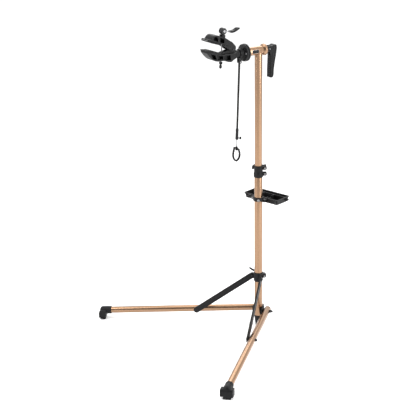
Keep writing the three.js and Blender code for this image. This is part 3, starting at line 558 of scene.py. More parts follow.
def hex_head(r, a, b, axis="y"):
    """A hexagon head between two places along the axis, its outer end at b."""
    sign = 1 if b > a else -1
    rows = [(0, a), (r, a), (r, b - sign * 1.2), (r * 0.86, b), (0, b)]
    return lathe(rows, axis, 6, 0.0)


def leg(name, side):
    flat, along = leg_frames(side)
    body = f"{name}_leg"
    inner = LEG_R - WALL
    tube_gold = gold(f"gold_{name}_leg", along)
    bolt_holes = [at(bar(4 + GAP, -20, 20, "y", 32, 0), move(x, 0, 0)) for x in (0, BRACE_ALONG)]
    piece(f"{name}_tube", body, tube_gold, along, [pipe(LEG_R, inner, -20, LEG_LENGTH - 22, "x")],
          bolt_holes, edge=0, node=f"{name}_leg_tube")
    rows = [(0, -22.4), (9, -22.4), (9.8, -25), (13.4, -25), (LEG_R, -23), (LEG_R, -20 - GAP),
            (inner - GAP, -20 - GAP), (inner - GAP, -8), (0, -8)]
    piece(f"{name}_tube_plug", body, GREY, along, [lathe(rows, "x", 72, 0.7)], edge=0,
          node=f"{name}_leg_end_plug")

    def across(rows, sides=48, edge=0.4):
        return mirrored(lathe(rows, "y", sides, edge), side)

    bolt_in = -LEG_OFFSET + LOWER_R + 0.6
    washer = LEG_R + GAP
    shank = [(0, bolt_in), (4, bolt_in), (4, washer), (9, washer), (9, washer + 1.6), (5.4, washer + 1.6),
             (5.4, LEG_R + 3), (0, LEG_R + 3)]
    nut = mirrored(hex_head(7.6, LEG_R + 2, LEG_R + 8.5), side)
    tip = [(0, LEG_R + 8), (4.4, LEG_R + 8), (4.4, LEG_R + 13), (3.4, LEG_R + 14), (0, LEG_R + 14)]
    piece(f"{name}_pivot_bolt", "base", DARK_STEEL, along, [across(shank), nut, across(tip)],
          edge=0.35, node=f"{name}_leg_pivot_bolt")
    inside = BRACE_Y - LEG_OFFSET + 4 + GAP
    shank = [(0, inside), (4, inside), (4, washer), (8, washer), (8, washer + 1.4), (4.4, washer + 1.4),
             (4.4, LEG_R + 3), (0, LEG_R + 3)]
    head = mirrored(hex_head(6.9, LEG_R + 1.6, LEG_R + 6.6), side)
    tip = [(0, LEG_R + 6), (3.8, LEG_R + 6), (3.4, LEG_R + 7.6), (1.8, LEG_R + 8), (0, LEG_R + 8)]
    piece(f"{name}_bolt", body, DARK_STEEL, along @ move(BRACE_ALONG, 0, 0),
          [across(shank), head, across(tip)], edge=0.35, node=f"{name}_brace_bolt")
    foot(name, side, flat)

    pivot = (BRACE_ALONG * math.cos(LEG_SLOPE), LEG_PIVOT_Z - BRACE_ALONG * math.sin(LEG_SLOPE))
    y0, y1 = sorted((side * (BRACE_Y - 4), side * (BRACE_Y + 4)))
    top = move(COLLAR_PIVOT[0], 0, COLLAR_PIVOT[1])
    brace_hole = at(bar(4 + GAP, y0 - 3, y1 + 3, "y", 32, 0), top)
    lower = Vector((pivot[0], pivot[1])) - Vector(COLLAR_PIVOT)
    groove = []
    for y_face in (y0 - 1, y1 - 0.7):
        a = Vector(COLLAR_PIVOT) + lower * 0.11
        b = Vector(COLLAR_PIVOT) + lower * 0.89
        groove.append(link(a, b, 8.2, y_face, y_face + 1.7))
    rivet_rows = [(0, BRACE_Y), (7, BRACE_Y), (7, BRACE_Y - 5.6), (5.6, BRACE_Y - 6.6), (0, BRACE_Y - 7)]
    rivet = at(across(rivet_rows, 40, 0.6), move(pivot[0], 0, pivot[1]))
    piece(f"{name}_flat_brace", f"{name}_brace", PAINT, flat,
          [link(COLLAR_PIVOT, pivot, BRACE_HALF, y0, y1, 28), rivet], [brace_hole] + groove, edge=1.1,
          node=f"{name}_brace")
    outside = BRACE_Y + 4 + GAP
    pin = [(0, outside - 17), (4, outside - 17), (4, outside), (7.5, outside), (7.3, outside + 2.6),
           (4.6, outside + 4.6), (3, outside + 4.9), (2.6, outside + 2.4), (0, outside + 2.2)]
    piece(f"{name}_pin", "sliding_collar", DARK_STEEL, flat @ top, [across(pin)], edge=0,
          node=f"{name}_collar_pin")


def foot(name, side, flat):
    reach = LEG_LENGTH * math.cos(LEG_SLOPE)
    base = flat @ move(reach, side * LEG_OFFSET, 0)
    tip = turn_y(LEG_SLOPE)
    up = move(0, 0, FOOT_AXIS_Z)
    inner, r, groove_r = LEG_R + GAP, LEG_R + 3.2, LEG_R + 2.2
    sleeve_rows = [(inner, -42), (r, -42), (r, -36), (groove_r, -35), (groove_r, -32), (r, -31), (r, -27),
                   (groove_r, -26), (groove_r, -23), (r, -22), (r, -2), (inner, -2), (inner, -42)]
    sleeve = at(lathe(sleeve_rows, "x", 72, 0.6), up @ tip)
    dome = at(lathe([(0, 15), (6, 14.6), (11, 13), (15, 10.5), (18, 6), (r, 1), (r, -8), (0, -8)],
                    "x", 72, 3), up @ tip)
    shoulder = slab([(-18, 12, 3), (17, 12, 3), (17, 40, 3), (12, 48, 5), (-14, 48, 3), (-18, 43, 3)],
                    -29, 29)
    notch = [slab([(-11, 18, 2), (10, 18, 2), (10, 38, 3), (-11, 38, 3)], y, y + 3.4)
             for y in (-31.5, 28.1)]
    grooves = [block((-22, y - 0.9, 46.8), (22, y + 0.9, 50)) for y in (-23.5, 23.5)]
    slots = [block((15.9, y - 1, 16), (20, y + 1, 38)) for y in (-22, -17, 17, 22)]
    bore = at(bar(inner, -60, -19, "x", 72, 0), up @ tip)
    piece(f"{name}_foot_shell", f"{name}_leg", PLASTIC, base, [shoulder, dome, sleeve],
          [bore] + notch + grooves + slots, skin=0.75, relax=4, node=f"{name}_foot")
    tread = [block((-14, y - 1, -1), (14, y + 1, 1.4)) for y in (-12, -7.2, -2.4, 2.4, 7.2, 12)]
    piece(f"{name}_foot_rubber", f"{name}_leg", RUBBER, base,
          [slab([(-12, -17, 3), (12, -17, 3), (12, 17, 3), (-12, 17, 3)], 0, 12 - GAP, "xy"),
           slab([(-13, -18, 3), (13, -18, 3), (13, 18, 3), (-13, 18, 3)], 0.6, 4.6, "xy")],
          tread, edge=0.5, node=f"{name}_foot_pad")


# ---------- collars and their levers ----------

def ears(inner, outer, heights, r, half=8):
    return [slab([(inner, z - r, 1), (outer, z - r, r * 0.9), (outer, z + r, r * 0.9), (inner, z + r, 1)],
                 -half, half) for z in heights]


def clamp_bolt(name, node, body, x, z, nut=False):
    """Socket-head screw across the ears of a split collar."""
    rows = [(0, -11.6), (2.3, -11.6), (2.6, -14), (4.2, -14), (5, -13.2), (5, -8.3), (3, -8.3)]
    if nut:
        rows += [(3, 8.3), (4.2, 8.3), (4.2, 10), (0, 10)]
    else:
        rows += [(3, 9.2), (0, 9.2)]
    add = [lathe(rows, "y", 36, 0.35)]
    if nut:
        add.append(hex_head(6.2, 8.3, 12.8))
    piece(name, body, STEEL, EARS @ move(x, 0, z), add, edge=0, node=node)


def low_collar():
    r, z0, z1, bolt_z = 22.2, 233, 278, 259
    bore = LOWER_R + GAP
    rows = [(bore, z0), (r - 2, z0), (r + 0.2, z0 + 6), (r + 0.2, z0 + 9), (r - 0.6, z0 + 10),
            (r - 0.6, z0 + 12), (r + 0.2, z0 + 13), (r + 0.2, z1 - 7), (r - 0.6, z1 - 6),
            (r - 0.6, z1 - 4), (r + 0.2, z1 - 3), (r - 1, z1), (bore, z1), (bore, z0)]
    barrel = lathe(rows, "z", 96, 0.6)
    lugs, holes = [], []
    for side in (1, -1):
        turn = turn_z(math.pi + side * LEG_SPREAD + 34.5 * DEG)
        x = COLLAR_PIVOT[0] + 13
        lug = slab([(0, 240, 1), (x, 240, 11), (x, 267, 11), (0, 267, 1)], 8.4, 15)
        hole = at(bar(4 + GAP, 4, 17, "y", 32, 0), move(COLLAR_PIVOT[0], 0, COLLAR_PIVOT[1]))
        lugs.append(at(mirrored(lug, side), turn))
        holes.append(at(mirrored(hole, side), turn))
    x = r + 7
    cut = [bar(bore, z0 - 5, z1 + 5, "z", 96, 0), block((0, -1.2, z0 - 5), (r + 20, 1.2, z1 + 5)),
           at(bar(3 + GAP, -20, 20, "y", 24, 0), move(x, 0, bolt_z))] + holes
    piece("leg_collar", "sliding_collar", PLASTIC, EARS, [barrel] + lugs
          + ears(r - 3, r + 16, [bolt_z], 9), cut, skin=0.65, relax=4, node="sliding_collar")
    clamp_bolt("leg_collar_screw", "collar_clamp_bolt", "sliding_collar", x, bolt_z)
    path = smooth_path([(x - 1, 20, bolt_z), (x - 6, 27, bolt_z + 1), (8, 31.4, bolt_z + 4),
                        (-16, 28, bolt_z + 14), (-33, 18, bolt_z + 28), (-42, 10, bolt_z + 38)], 8)
    lever = swept(path, band_section(6.4, 2.4), (0.3, 0, 0.95), lambda t: 1.12 - 0.5 * t)
    hub = at(lathe([(0, -8), (6.2, -8), (7, -7), (7, 7), (6.2, 8), (0, 8)], "z", 48, 0.6),
             move(x, 16.5, bolt_z))
    pin = at(bar(2.4, -8.6, 8.6, "z", 24), move(x, 16.5, bolt_z))
    piece("leg_collar_lever", "collar_lever", SATIN, EARS, [lever, hub], [], skin=0.55, relax=4,
          node="collar_quick_release")
    piece("leg_collar_lever_pin", "collar_lever", STEEL, EARS, [pin], edge=0)


def mid_collar():
    r_low, r_top, z0, z1, step = 22.6, 20.6, 753, 809, tube_high.z
    rows = [(LOWER_R + GAP, z0), (r_low - 2, z0), (r_low, z0 + 4), (r_low, z0 + 18), (r_top, z0 + 26),
            (r_top, z1 - 7), (r_top + 0.9, z1 - 6), (r_top + 0.9, z1 - 2), (r_top - 0.6, z1),
            (UPPER_R + GAP, z1), (UPPER_R + GAP, step + GAP), (LOWER_R + GAP, step + GAP),
            (LOWER_R + GAP, z0)]
    barrel = lathe(rows, "z", 96, 0.9)
    x = r_low + 8
    heights = (797, 769)
    holes = [at(bar(3 + GAP, -24, 24, "y", 24, 0), move(x, 0, z)) for z in heights]
    cut = [bar(UPPER_R + GAP, z0 - 5, z1 + 12, "z", 96, 0),
           bar(LOWER_R + GAP, z0 - 5, step + GAP, "z", 96, 0),
           block((0, -1.2, z0 - 5), (x + 20, 1.2, z1 + 12))] + holes
    piece("height_collar", "base", PLASTIC, EARS,
          [barrel] + ears(UPPER_R + 1, x + 8.5, heights, 8.5), cut, skin=0.65, relax=4, node="mast_collar")
    clamp_bolt("height_collar_screw", "mast_clamp_bolt", "base", x, heights[0])
    clamp_bolt("height_collar_pinch_screw", "mast_pinch_bolt", "base", x, heights[1], nut=True)
    z = heights[0]
    arc = [Vector((27.7 * math.cos(a * DEG), 27.7 * math.sin(a * DEG), z)) for a in range(36, 174, 3)]
    handle = swept(arc, band_section(13, 2.4), (0, 0, 1),
                   lambda t: 0.72 + 0.3 * math.sin(math.pi * min(1, t * 1.15)))
    hub = at(lathe([(0, -11), (6.6, -11), (7.5, -10), (7.5, 10), (6.6, 11), (0, 11)], "z", 48, 0.8),
             move(x, 17, z))
    bridge = block((x - 12, 15, z - 9), (x, 21, z + 9))
    ribs = [at(bar(1, -9, 9, "z", 12), turn_z(a * DEG) @ move(30.1, 0, z)) for a in range(120, 166, 9)]
    piece("height_lever", "mast_lever", SATIN, EARS, [handle, hub, bridge] + ribs,
          [bar(25, z - 20, z + 20, "z", 96, 0)], skin=0.6, relax=4, node="mast_quick_release")
    piece("height_lever_pin", "mast_lever", STEEL, EARS,
          [at(bar(2.6, -11.7, 11.7, "z", 24), move(x, 17, z))], edge=0)


# ---------- tool tray ----------

def tub(x0, y0, z0, x1, y1, z1, draft, r):
    """A round-cornered block whose sides lean in towards its bottom."""
    top = rounded([(x0, y0, r), (x1, y0, r), (x1, y1, r), (x0, y1, r)])
    cx, cy = (x0 + x1) / 2, (y0 + y1) / 2
    kx, ky = 1 - 2 * draft / (x1 - x0), 1 - 2 * draft / (y1 - y0)
    points, faces = plate(top, z0, z1, "xy")
    n = len(top)
    low = [(cx + (x - cx) * kx, cy + (y - cy) * ky, z) for x, y, z in points[:n]]
    return low + points[n:], faces


def tool_tray():
    near, far, half, rim, floor, wall = 27, 119, 99.5, 649, 623, 2.6
    split = near + 62
    aside, low_wall, high_wall = 9.5, -31.5, 24.5
    front_x, end_y = near + wall, half - wall
    rooms = [(front_x, -end_y, split, low_wall), (front_x, low_wall + wall, split, high_wall),
             (front_x, high_wall + wall, split, end_y), (split + wall, -end_y, far - wall, end_y)]
    hollow = [tub(x0, y0, floor + wall, x1, y1, rim + 4, 2.5, 5) for x0, y0, x1, y1 in rooms]
    lip = slab([(near - 2, -half - 2, 6), (far + 2, -half - 2, 6), (far + 2, half + 2, 6),
                (near - 2, half + 2, 6)], rim - 3, rim, "xy")
    right_tab = slab([(far - 34, -half + 4, 1), (far - 34, -half - 14, 8), (far - 14, -half - 14, 8),
                      (far - 14, -half + 2, 3)], rim - 14.5, rim - 11, "xy")
    left_tab = slab([(near + 18, half - 4, 1), (near + 18, half + 14, 5), (near + 44, half + 14, 5),
                     (near + 44, half - 4, 1)], rim - 14.5, rim - 11, "xy")
    tool_holes = [at(bar(4, rim - 20, rim - 8, "z", 32, 0), move(far - 24, -half - 7, 0))]
    for x in (near + 25, near + 37):
        tool_holes.append(at(bar(2.6, rim - 20, rim - 8, "z", 24, 0), move(x, half + 8, 0)))
    slits = [block((near - 6, y - 1.7, floor + 7), (front_x + 3.5, y + 1.7, rim - 6))
             for y in range(34, 94, 8)]
    gap = block((near - 6, -half + 12, floor + 6), (near + wall + 3, -half + 17, rim - 6))
    finger = block((near + 20, low_wall - 1, rim - 9), (near + 42, low_wall + 4, rim + 5))
    shell = tub(near, -half, floor, far, half, rim, 5, 7)
    piece("tray_shell", "tray", PLASTIC, TRAY @ move(0, aside, 0),
          [shell, lip, right_tab, left_tab], hollow + tool_holes + slits + [gap, finger], skin=0.95,
          relax=3, node="tool_tray")

    z0, z1, bore, front = 638, 656, LOWER_R + GAP, turn_z(39.5 * DEG)
    ring = lathe([(bore, z0), (24, z0), (24.6, z0 + 2), (24.6, z0 + 6), (23.8, z0 + 7), (23.8, z1 - 7),
                  (24.6, z1 - 6), (24.6, z1 - 2), (24, z1), (bore, z1), (bore, z0)], "z", 96, 0.6)
    mid = (z0 + z1) / 2
    arms = block((4, -34, z0 - 5), (near - 2 - GAP, 34, z0 + 8))
    ear = block((-8, 20, z0 + 1), (2, 36, z0 + 17))
    boss = at(bar(7, -30, -22, "x", 40), front @ move(0, 0, mid))
    holes = [bar(bore, z0 - 20, z1 + 20, "z", 96, 0),
             at(bar(3.4, -40, -16, "x", 24, 0), front @ move(0, 0, mid)),
             at(bar(3.3, -12, 6, "x", 24, 0), move(0, 29, mid))]
    piece("tray_ring", "tray", PLASTIC, TRAY, [ring, arms, ear, boss], holes, skin=0.7, relax=4,
          node="tray_clamp")
    for name, node, tip, head, place in (("tray_ring_screw", "tray_front_bolt", -20.2, -30.3, front),
                                         ("tray_ear_screw", "tray_side_bolt", 3, -8.3, move(0, 29, 0))):
        rows = [(0, tip), (3, tip), (3, head), (6, head), (5.6, head - 3), (3.6, head - 4.8),
                (2.6, head - 5), (2.4, head - 2.4), (0, head - 2.2)]
        piece(name, "tray", STEEL, TRAY @ place @ move(0, 0, mid), [lathe(rows, "x", 36, 0.3)],
              edge=0, node=node)


# ---------- head ----------

def head_unit():
    rear, front, bore = -30, 66, 17.5
    piece("cross_tube", "upper_mast", HEAD_GOLD, HEAD, [pipe(19.5, bore, rear, front, "x")], edge=0,
          node="head_tube")
    rows = [(6.3, rear + 12), (bore - GAP, rear + 12), (bore - GAP, rear - GAP), (19.8, rear - GAP),
            (19.8, rear + 12), (21, rear + 12), (24.6, rear + 8), (26.4, rear + 3), (26.5, rear - 2.6),
            (25, rear - 5.6), (21, rear - 7), (17, rear - 6.6), (14, rear - 7), (6.3, rear - 7),
            (6.3, rear + 12)]
    piece("cross_tube_ring", "upper_mast", HEAD_GOLD, HEAD, [lathe(rows, "x", 120, 0.8)], edge=0,
          node="head_end_ring")
    for name, width, height, r, material, node in (("plate_border", 36, 17, 20.2, TRIM, None),
                                                   ("plate_face", 34.6, 15.6, 20.7, BADGE, "badge_plate")):
        badge = bent_plate(29, width, height, 19.5 + GAP, r)
        piece(name, "upper_mast", material, HEAD, [badge], edge=0.2, node=node)
    coil = []
    for k in range(151):
        t = 2 * math.pi * k / 30
        coil.append(Vector((-14 + 58 * k / 150, 9.5 * math.cos(t), 9.5 * math.sin(t))))
    piece("spring_coil", "upper_mast", STEEL, HEAD, [swept(coil, ring_section(1.3, 10), (1, 0, 0))],
          edge=0, node="release_spring")

    disc = 39.5
    teeth = 44
    rows = [(6.3, front + GAP), (20.5, front + GAP), (20.5, front + 2), (disc - 3, front + 2),
            (disc - 0.4, front + 4.4), (disc - 0.4, front + 5.4), (disc - 1.2, front + 6),
            (disc - 1.2, front + 7.4), (disc, front + 8), (disc, front + 10.2, 0, 0.9),
            (30, front + 10.4, 0, 0.7), (29, front + 11.6), (6.3, front + 12), (6.3, front + GAP)]
    piece("rear_coupling_disc", "upper_mast", SATIN, HEAD,
          [lathe(rows, "x", teeth * 4, 0.35, waves=teeth)], edge=0, node="fixed_toothed_disc")
    face = front + 12.6
    rows = [(6.3, face), (28.4, face), (29.4, face), (30, face + 0.7, 0, 0.7), (disc, face + 0.9, 0, 0.9),
            (disc, face + 3), (disc - 1.2, face + 3.6), (disc - 1.2, face + 5), (disc - 0.4, face + 5.6),
            (disc - 0.8, face + 7.4), (disc - 3.4, face + 9.5), (23, face + 9.5), (21, face + 6.5),
            (6.3, face + 6.5), (6.3, face)]
    screw_hole = at(bar(2.8, face - 2, face + 20, "x", 24, 0), move(0, 27, 1))
    piece("front_coupling_disc", "clamp", SATIN, HEAD,
          [lathe(rows, "x", teeth * 4, 0.35, waves=teeth)], [screw_hole], edge=0,
          node="turning_toothed_disc")
    rows = [(0, face + 1), (2.5, face + 1), (2.5, face + 9.8), (5, face + 9.8), (4.6, face + 11.8),
            (3, face + 12.8), (1.9, face + 12.9), (1.8, face + 11), (0, face + 10.9)]
    piece("coupling_screw", "clamp", STEEL, HEAD @ move(0, 27, 1), [lathe(rows, "x", 32, 0.3)],
          edge=0, node="disc_screw")
    nut = face + 20
    rod = bar(6, -64, nut + 12, "x", 48, 0.8)
    hexagon = lathe([(0, nut), (9.5, nut), (9.5, nut + 8), (0, nut + 8)], "x", 6, 0)
    cross_pin = at(bar(3, -13, 13, "y", 32), move(-56, 0, 0))
    piece("spindle_shaft", "upper_mast", STEEL, HEAD, [rod, hexagon, cross_pin], edge=0,
          node="head_spindle")
    cam_lever()


def bent_plate(middle, width, height, inner, outer, corner=2.2):
    """A round-cornered oblong on +y, bent round the x axis between two radii; its height runs round."""
    columns, rows = 16, 10
    points, faces = [], []
    for r in (inner, outer):
        for i in range(columns + 1):
            along = width * i / columns
            past = max(0, corner - min(along, width - along))
            half = height / 2 - corner + math.sqrt(corner ** 2 - past ** 2)
            for j in range(rows + 1):
                a = half * (2 * j / rows - 1) / outer
                points.append((middle - width / 2 + along, r * math.cos(a), r * math.sin(a)))

    def corner_at(layer, i, j):
        return (layer * (columns + 1) + i) * (rows + 1) + j

    for i in range(columns):
        for j in range(rows):
            faces += [tuple(corner_at(layer, i + a, j + b) for a, b in ((0, 0), (1, 0), (1, 1), (0, 1)))
                      for layer in (0, 1)]
        for j in (0, rows):
            faces.append(tuple(corner_at(a, i + b, j) for a, b in ((0, 0), (0, 1), (1, 1), (1, 0))))
    for j in range(rows):
        for i in (0, columns):
            faces.append(tuple(corner_at(a, i, j + b) for a, b in ((0, 0), (0, 1), (1, 1), (1, 0))))
    return points, faces


def cam_lever():
    pin = -56
    cam = []
    for k in range(13):
        t = k / 12 * 90 * DEG
        r = 16 - 2 * k / 12
        cam.append((pin + r * math.cos(t), r * math.sin(t), 0.1))
    lever = [(-72, 13.9, 2), (-78, 18, 4), (-90, 18, 6), (-94, 8, 6), (-92, -15, 10), (-84, -55, 30),
             (-77, -92, 20), (-76, -120, 8), (-72, -131, 6), (-58, -133, 5), (-59, -120, 4), (-59, -92, 20),
             (-61, -55, 30), (-62, -28, 14), (-60, -17, 3), (pin, -15, 8), (pin + 13, -10, 5)]
    outline = rounded(cam + lever, 5)
    slot_cut = block((pin - 11, -6.6, -30), (-20, 6.6, 30))
    outer = [(-97, 8), (-94.6, -15), (-86.8, -55), (-80, -92), (-78.4, -118), (-75.6, -118), (-76.6, -92),
             (-83, -55), (-90.6, -15), (-91.6, 4)]
    groove = plate(outer, -5.2, 5.2)
    ribs = []
    for k in range(7):
        z = -58 - 9 * k
        x = -61 + 0.05 * (abs(z) - 55)
        ribs.append(block((x - 1.5, -11, z - 1.4), (x + 1.3, 11, z + 1.4)))
    hollow = rounded([(-88, 12, 3), (-90, 2, 3), (-88, -16, 6), (-80, -56, 20), (-73.6, -92, 8),
                      (-72.6, -118, 3), (-63.4, -120, 3), (-63.4, -92, 8), (-65.4, -55, 20),
                      (-67.6, -26, 6), (-72, 8, 4)])
    side_cut = [plate(hollow, y, y + 3.1) for y in (-16, 12.9)]
    piece("head_lever", "head_cam_lever", PLASTIC, HEAD, [plate(outline, -14.5, 14.5)] + ribs,
          [slot_cut, at(bar(3.3, -20, 20, "y", 32, 0), move(pin, 0, 0)), groove] + side_cut, skin=0.75,
          relax=4, node="head_cam_lever")


# ---------- clamp ----------

def clamp():
    hx, hz, half, tongue = 155, 28, 26, 14
    face = 87.6
    nut, start = face + 20, face + 7
    lean = move(ROD_X, 0, 0) @ turn_y(-ROD_LEAN)
    hinge_hole = at(bar(4 + GAP, -40, 40, "y", 32, 0), move(hx, 0, hz))
    jaw = slab([(138, 12), (214, 13), (222, 13, 4), (236, 19, 6), (268, 30, 8), (286, 32, 3), (297, 34, 1),
                (296, 28, 2), (280, 8, 10), (262, -8, 12), (240, -15, 8), (206, -15, 8), (188, -23, 6),
                (166, -27, 6), (158, -20, 6), (138, -12, 6)], -half, half)
    block_part = slab([(136, 0), (136, 12), (hx - 12, hz + 4, 6), (hx - 3, hz + 11, 6), (hx + 9, hz + 9, 6),
                       (hx + 13, hz - 2, 5), (hx + 40, 22, 6), (hx + 56, 18, 4), (hx + 56, 0)],
                      -tongue, tongue)
    arm = lathe([(0, start), (20, start), (16, start + 7), (16, 140), (14, 160), (0, 160)], "x", 96, 1.5)
    arm_ring = lathe([(0, 124), (17.2, 124), (18, 125.4), (18, 132), (17, 134), (0, 134)], "x", 96, 0.8)
    hollows = ([(247, -6, 3), (254, 16, 4), (278, 24, 4), (266, 1, 4)],
               [(212, -9, 3), (212, 6, 3), (230, 9, 3), (244, 15, 3), (239, -8, 4)],
               [(170, -18, 3), (172, 6, 3), (206, 6, 3), (206, -8, 3), (188, -15, 3)])
    pocket_spans = ((-half - 2, -half + 18), (half - 18, half + 2))
    pockets = [slab(hollow, *span) for span in pocket_spans for hollow in hollows]
    rod_hole = at(bar(3.4, -60, 60, "z", 32, 0), lean)
    spindle_bore = lathe([(0, start - 5), (6.3, start - 5), (6.3, nut - 4), (10.2, nut - 4),
                          (10.2, nut + 16), (0, nut + 16)], "x", 32, 0)
    piece("lower_jaw", "clamp", PLASTIC, HEAD, [jaw, block_part, arm, arm_ring],
          [hinge_hole, rod_hole] + pockets + [spindle_bore], skin=0.85, relax=4, node="fixed_jaw")
    low_face = [(224, 14 + GAP), (237, 19.4 + GAP), (268, 30.4 + GAP), (286, 32.4 + GAP), (297, 34.4 + GAP)]
    pad_top = [(297, 40, 1), (286, 39), (268, 37), (236, 26), (222, 21, 2)]
    notches = []
    for a, b in (((268, 37), (236, 26)), ((286, 39), (268, 37))):
        length = math.dist(a, b)
        for k in range(1, int(length // 6)):
            t = k * 6 / length
            x, z = a[0] + (b[0] - a[0]) * t, a[1] + (b[1] - a[1]) * t
            notches.append(block((x - 0.8, -40, z - 1.1), (x + 0.8, 40, z + 3)))
    piece("lower_jaw_rubber", "clamp", RUBBER, HEAD,
          [slab(low_face + pad_top, -half - 2, half + 2)], notches, edge=0.7, node="fixed_jaw_pad")

    def cheek(y0, y1):
        return slab([(hx - 12, hz - 7, 6), (hx - 15, hz + 12, 7), (hx + 6, hz + 34, 3),
                     (hx + 44, hz + 58, 3), (hx + 60, hz + 40, 3), (hx + 48, hz + 20, 3),
                     (hx + 12, hz - 7, 10)], y0, y1)

    top = slab([(hx + 6, 62, 6), (hx + 45, 84, 14), (228, 98, 10), (254, 104, 10), (268, 96, 6),
                (276, 86, 4), (291, 90, 1), (291, 85, 0.6), (270, 77), (224, 62), (198, 53), (178, 47, 5)],
               -half, half)
    slot_cut = at(block((-11, -3.6, 30), (18, 3.6, 130)), lean)
    hollows = ([(237, 72, 3), (240, 93, 4), (256, 97, 4), (264, 84, 4)],
               [(206, 62, 3), (204, 80, 4), (226, 90, 4), (229, 70, 4)])
    sides = [slab(hollow, *span) for span in pocket_spans for hollow in hollows]
    cheeks = [cheek(tongue + 0.6, half - 2), cheek(-half + 2, -tongue - 0.6)]
    saddle = at(block((-8, -12, 78), (8, 12, CAM_Z - 15.2)), lean)
    piece("upper_jaw", "moving_jaw", PLASTIC, HEAD, [top, saddle] + cheeks,
          [hinge_hole, slot_cut] + sides, skin=0.85, relax=4, node="moving_jaw")
    upper_face = [(224, 61.6 - GAP), (270, 76.6 - GAP), (291, 84.6 - GAP), (291, 79, 1), (270, 70),
                  (224, 55, 1)]
    notches = []
    length = math.dist((270, 70), (224, 55))
    for k in range(1, int(length // 6)):
        t = k * 6 / length
        x, z = 270 - 46 * t, 70 - 15 * t
        notches.append(block((x - 0.8, -40, z - 3), (x + 0.8, 40, z + 1.1)))
    piece("upper_jaw_rubber", "moving_jaw", RUBBER, HEAD, [slab(upper_face, -half - 2, half + 2)],
          notches, edge=0.7, node="moving_jaw_pad")
    rows = [(0, -half - 1), (3.2, -half - 1), (4, -half), (4, half), (3.2, half + 1), (0, half + 1)]
    piece("hinge_axle", "clamp", DARK_STEEL, HEAD @ move(hx, 0, hz), [lathe(rows, "y", 40, 0.4)],
        edge=0, node="jaw_hinge_pin")


def clamp_screw():
    spot = move(0, 0, CAM_Z)
    pin = lathe([(0, -15.5), (2.3, -15.5), (3, -14.6), (3, 14.6), (2.3, 15.5), (0, 15.5)], "y", 40, 0.3)
    rod = [bar(2.6, -56, CAM_Z - 6, "z", 40), bar(5, CAM_Z - 7, CAM_Z + 7, "z", 40), at(pin, spot)]
    piece("pull_rod", "clamp_rod", STEEL, ROD, rod, edge=0, node="clamp_rod")
    rows = [(2.9, -52), (4.6, -52), (5.8, -50.4, 0.3), (5.8, -42, 0.3), (4.6, -40), (4.6, -34),
            (6.6, -32.6, 0.5), (7, -31.4, 0.5), (7, -25, 0.5), (6.4, -24), (2.9, -24), (2.9, -52)]
    piece("reach_nut", "clamp", PLASTIC, ROD, [lathe(rows, "z", 96, 0.5, waves=16)], edge=0,
        node="adjusting_nut")
    rows = [(0, -12), (12.2, -12), (14.3, -10.6), (14.3, -4), (13.4, -3), (13.4, 3), (14.3, 4),
            (14.3, 10.6), (12.2, 12), (0, 12)]
    piece("cam_barrel", "clamp_rod", SATIN, ROD @ spot, [lathe(rows, "y", 96, 0.8)],
          [block((-5.4, -5.4, -20), (5.4, 5.4, 20)), bar(3.3, -20, 20, "y", 32, 0)], edge=0.3,
          node="clamp_cam")
    wires = []
    for side in (1, -1):
        path = smooth_path([(-4.8, side * 14, CAM_Z), (-16, side * 14, CAM_Z - 1), (-28, side * 8, CAM_Z - 3),
                            (-40, side * 5, CAM_Z - 4)], 10)
        wires.append(swept(path, ring_section(1.7, 20), (0, 0, 1)))
    eyes = [at(pipe(6, 3.3, *span, "y", 48), spot) for span in ((12.5, 15), (-15, -12.5))]
    cross = at(bar(1.7, -6, 6, "y", 24), move(-40, 0, CAM_Z - 4))
    piece("lever_wire", "clamp_lever", STEEL, ROD, [eyes[0], wires[0], cross, wires[1], eyes[1]],
          edge=0, sharp=50, node="clamp_lever_fork")
    grip = slab([(-36, CAM_Z - 8, 4), (-36, CAM_Z, 3), (-56, CAM_Z + 2, 12), (-74, CAM_Z + 13, 5),
                 (-88, CAM_Z + 13, 2), (-84, CAM_Z + 7, 4), (-66, CAM_Z - 4, 12), (-50, CAM_Z - 9, 8)],
                -9, 9)
    grooves = [at(block((-1.0, -6.2, -4), (1.0, 6.2, 1.6)), move(x, 0, z))
               for x, z in ((-66, CAM_Z + 8.3), (-70, CAM_Z + 10.7), (-62, CAM_Z + 5.9))]
    piece("lever_paddle", "clamp_lever", PLASTIC, ROD, [grip],
          [block((-45, -8, CAM_Z - 6.5), (-30, 8, CAM_Z - 1.6))] + grooves, skin=0.5, relax=4,
          node="clamp_lever_grip")


# ---------- front-wheel stabiliser ----------

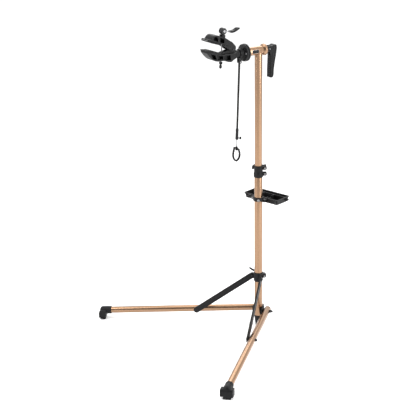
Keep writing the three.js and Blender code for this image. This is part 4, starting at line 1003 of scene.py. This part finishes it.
def stabiliser():
    px, pz = HANGER
    ring = pipe(21, 16.3, px - 13, px + 4.5, "x", 96, 0.8)
    bridge = block((px - 7, -9, -28), (px + 4.5, 9, -18))
    forks = [link((px, -20), (px, pz), 7, *span) for span in ((5.3, 9), (-9, -5.3))]
    piece("hanger_ring", "hanger", PLASTIC, HEAD, [ring, bridge] + forks,
          [bar(16.3, px - 20, px + 10, "x", 96, 0), at(bar(2.8, -12, 12, "y", 24, 0), move(px, 0, pz)),
           block((px - 10, -5.3, pz - 10), (px + 8, 5.3, -24))], skin=0.45, relax=3, node="rod_hanger")
    rows = [(0, -10.2), (2.6, -10.2), (3.4, -9.3), (2.5, -9.1), (2.5, 9.1), (3.4, 9.3), (2.6, 10.2),
            (0, 10.2)]
    piece("hanger_rivet", "hanger", STEEL, HEAD @ move(px, 0, pz), [lathe(rows, "y", 32, 0.2)],
        edge=0, node="hanger_pin")
    piece("stay_tube", "stabiliser", PAINT, STAY, [
        pipe(4.8, 3.2, -312, -4, "z", 48, 0.3), bar(5.5, -4.8, 4.8, "y", 40, 0.6)],
        [bar(2.8, -8, 8, "y", 24, 0), bar(3.2, -300, -9, "z", 48, 0)], edge=0, node="stabiliser_tube")
    knob_turn = 145.5 * DEG
    rows = [(5.1, -306), (6.2, -306), (7.6, -312), (7.6, -316), (6.9, -317.2), (6.9, -322), (7.3, -346),
            (7.6, -350), (7.3, -355), (5.8, -358), (2.6, -358), (2.6, -313), (5.1, -313), (5.1, -306)]
    piece("stay_sleeve", "stabiliser", SATIN, STAY, [lathe(rows, "z", 64, 0.6)],
          [at(at(bar(2.3, 2, 12, "x", 24, 0), turn_z(knob_turn)), move(0, 0, -350))], edge=0,
          node="stabiliser_sleeve")
    rows = [(0, 3), (2, 3), (2, 11.4), (4.8, 12), (6.2, 13.4, 0.5), (6.4, 15, 0.55), (6.2, 18.6, 0.5),
            (4.8, 20.4), (2.4, 20.6), (2, 19.8), (0, 19.8)]
    piece("stay_knob", "stabiliser_knob", PLASTIC, STAY @ move(0, 0, -350) @ turn_z(knob_turn),
          [lathe(rows, "x", 96, 0.6, waves=12)], edge=0, node="stabiliser_knob")
    piece("stay_rod", "stabiliser_rod", STEEL, STAY, [bar(2.2, -396, -60, "z", 40)], edge=0,
          node="stabiliser_rod")
    path = smooth_path([(-1, 0, -400), (-11, 0, -405), (-18, 0, -424), (-16, 0, -444), (-2, 0, -457),
                        (12, 0, -448), (18, 0, -430), (16, 0, -409), (11, 0, -390)], 12)
    strap = rounded([(-4, -3.8, 1.6), (4, -3.8, 1.6), (4, 3.8, 1.6), (-4, 3.8, 1.6)], 3)
    hook = swept(path, strap, (0, 1, 0))
    rib = rounded([(-4.5, -4.3, 1.6), (4.5, -4.3, 1.6), (4.5, 4.3, 1.6), (-4.5, 4.3, 1.6)], 3)
    rings = [swept(path[k - 1:k + 2], rib, (0, 1, 0)) for k in range(14, len(path) - 6, 7)]
    piece("stay_hook", "stabiliser_rod", PLASTIC, STAY,
          [hook, bar(5.5, -408, -390, "z", 48, 0.8)] + rings,
          [bar(2.5, -396.3, -380, "z", 32, 0)], skin=0.5, relax=2, node="stabiliser_hook")


HIDDEN = {"mast_guide_bushing": GREY, "head_bushing": GREY, "cam_seat": GREY}


def main():
    make_camera()
    make_lights()
    make_floor()
    mast()
    leg_bracket()
    leg("left", -1)
    leg("right", 1)
    low_collar()
    mid_collar()
    tool_tray()
    head_unit()
    clamp()
    clamp_screw()
    stabiliser()
    for node, material in HIDDEN.items():
        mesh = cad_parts[node].data
        mesh.materials.clear()
        mesh.materials.append(material)


main()
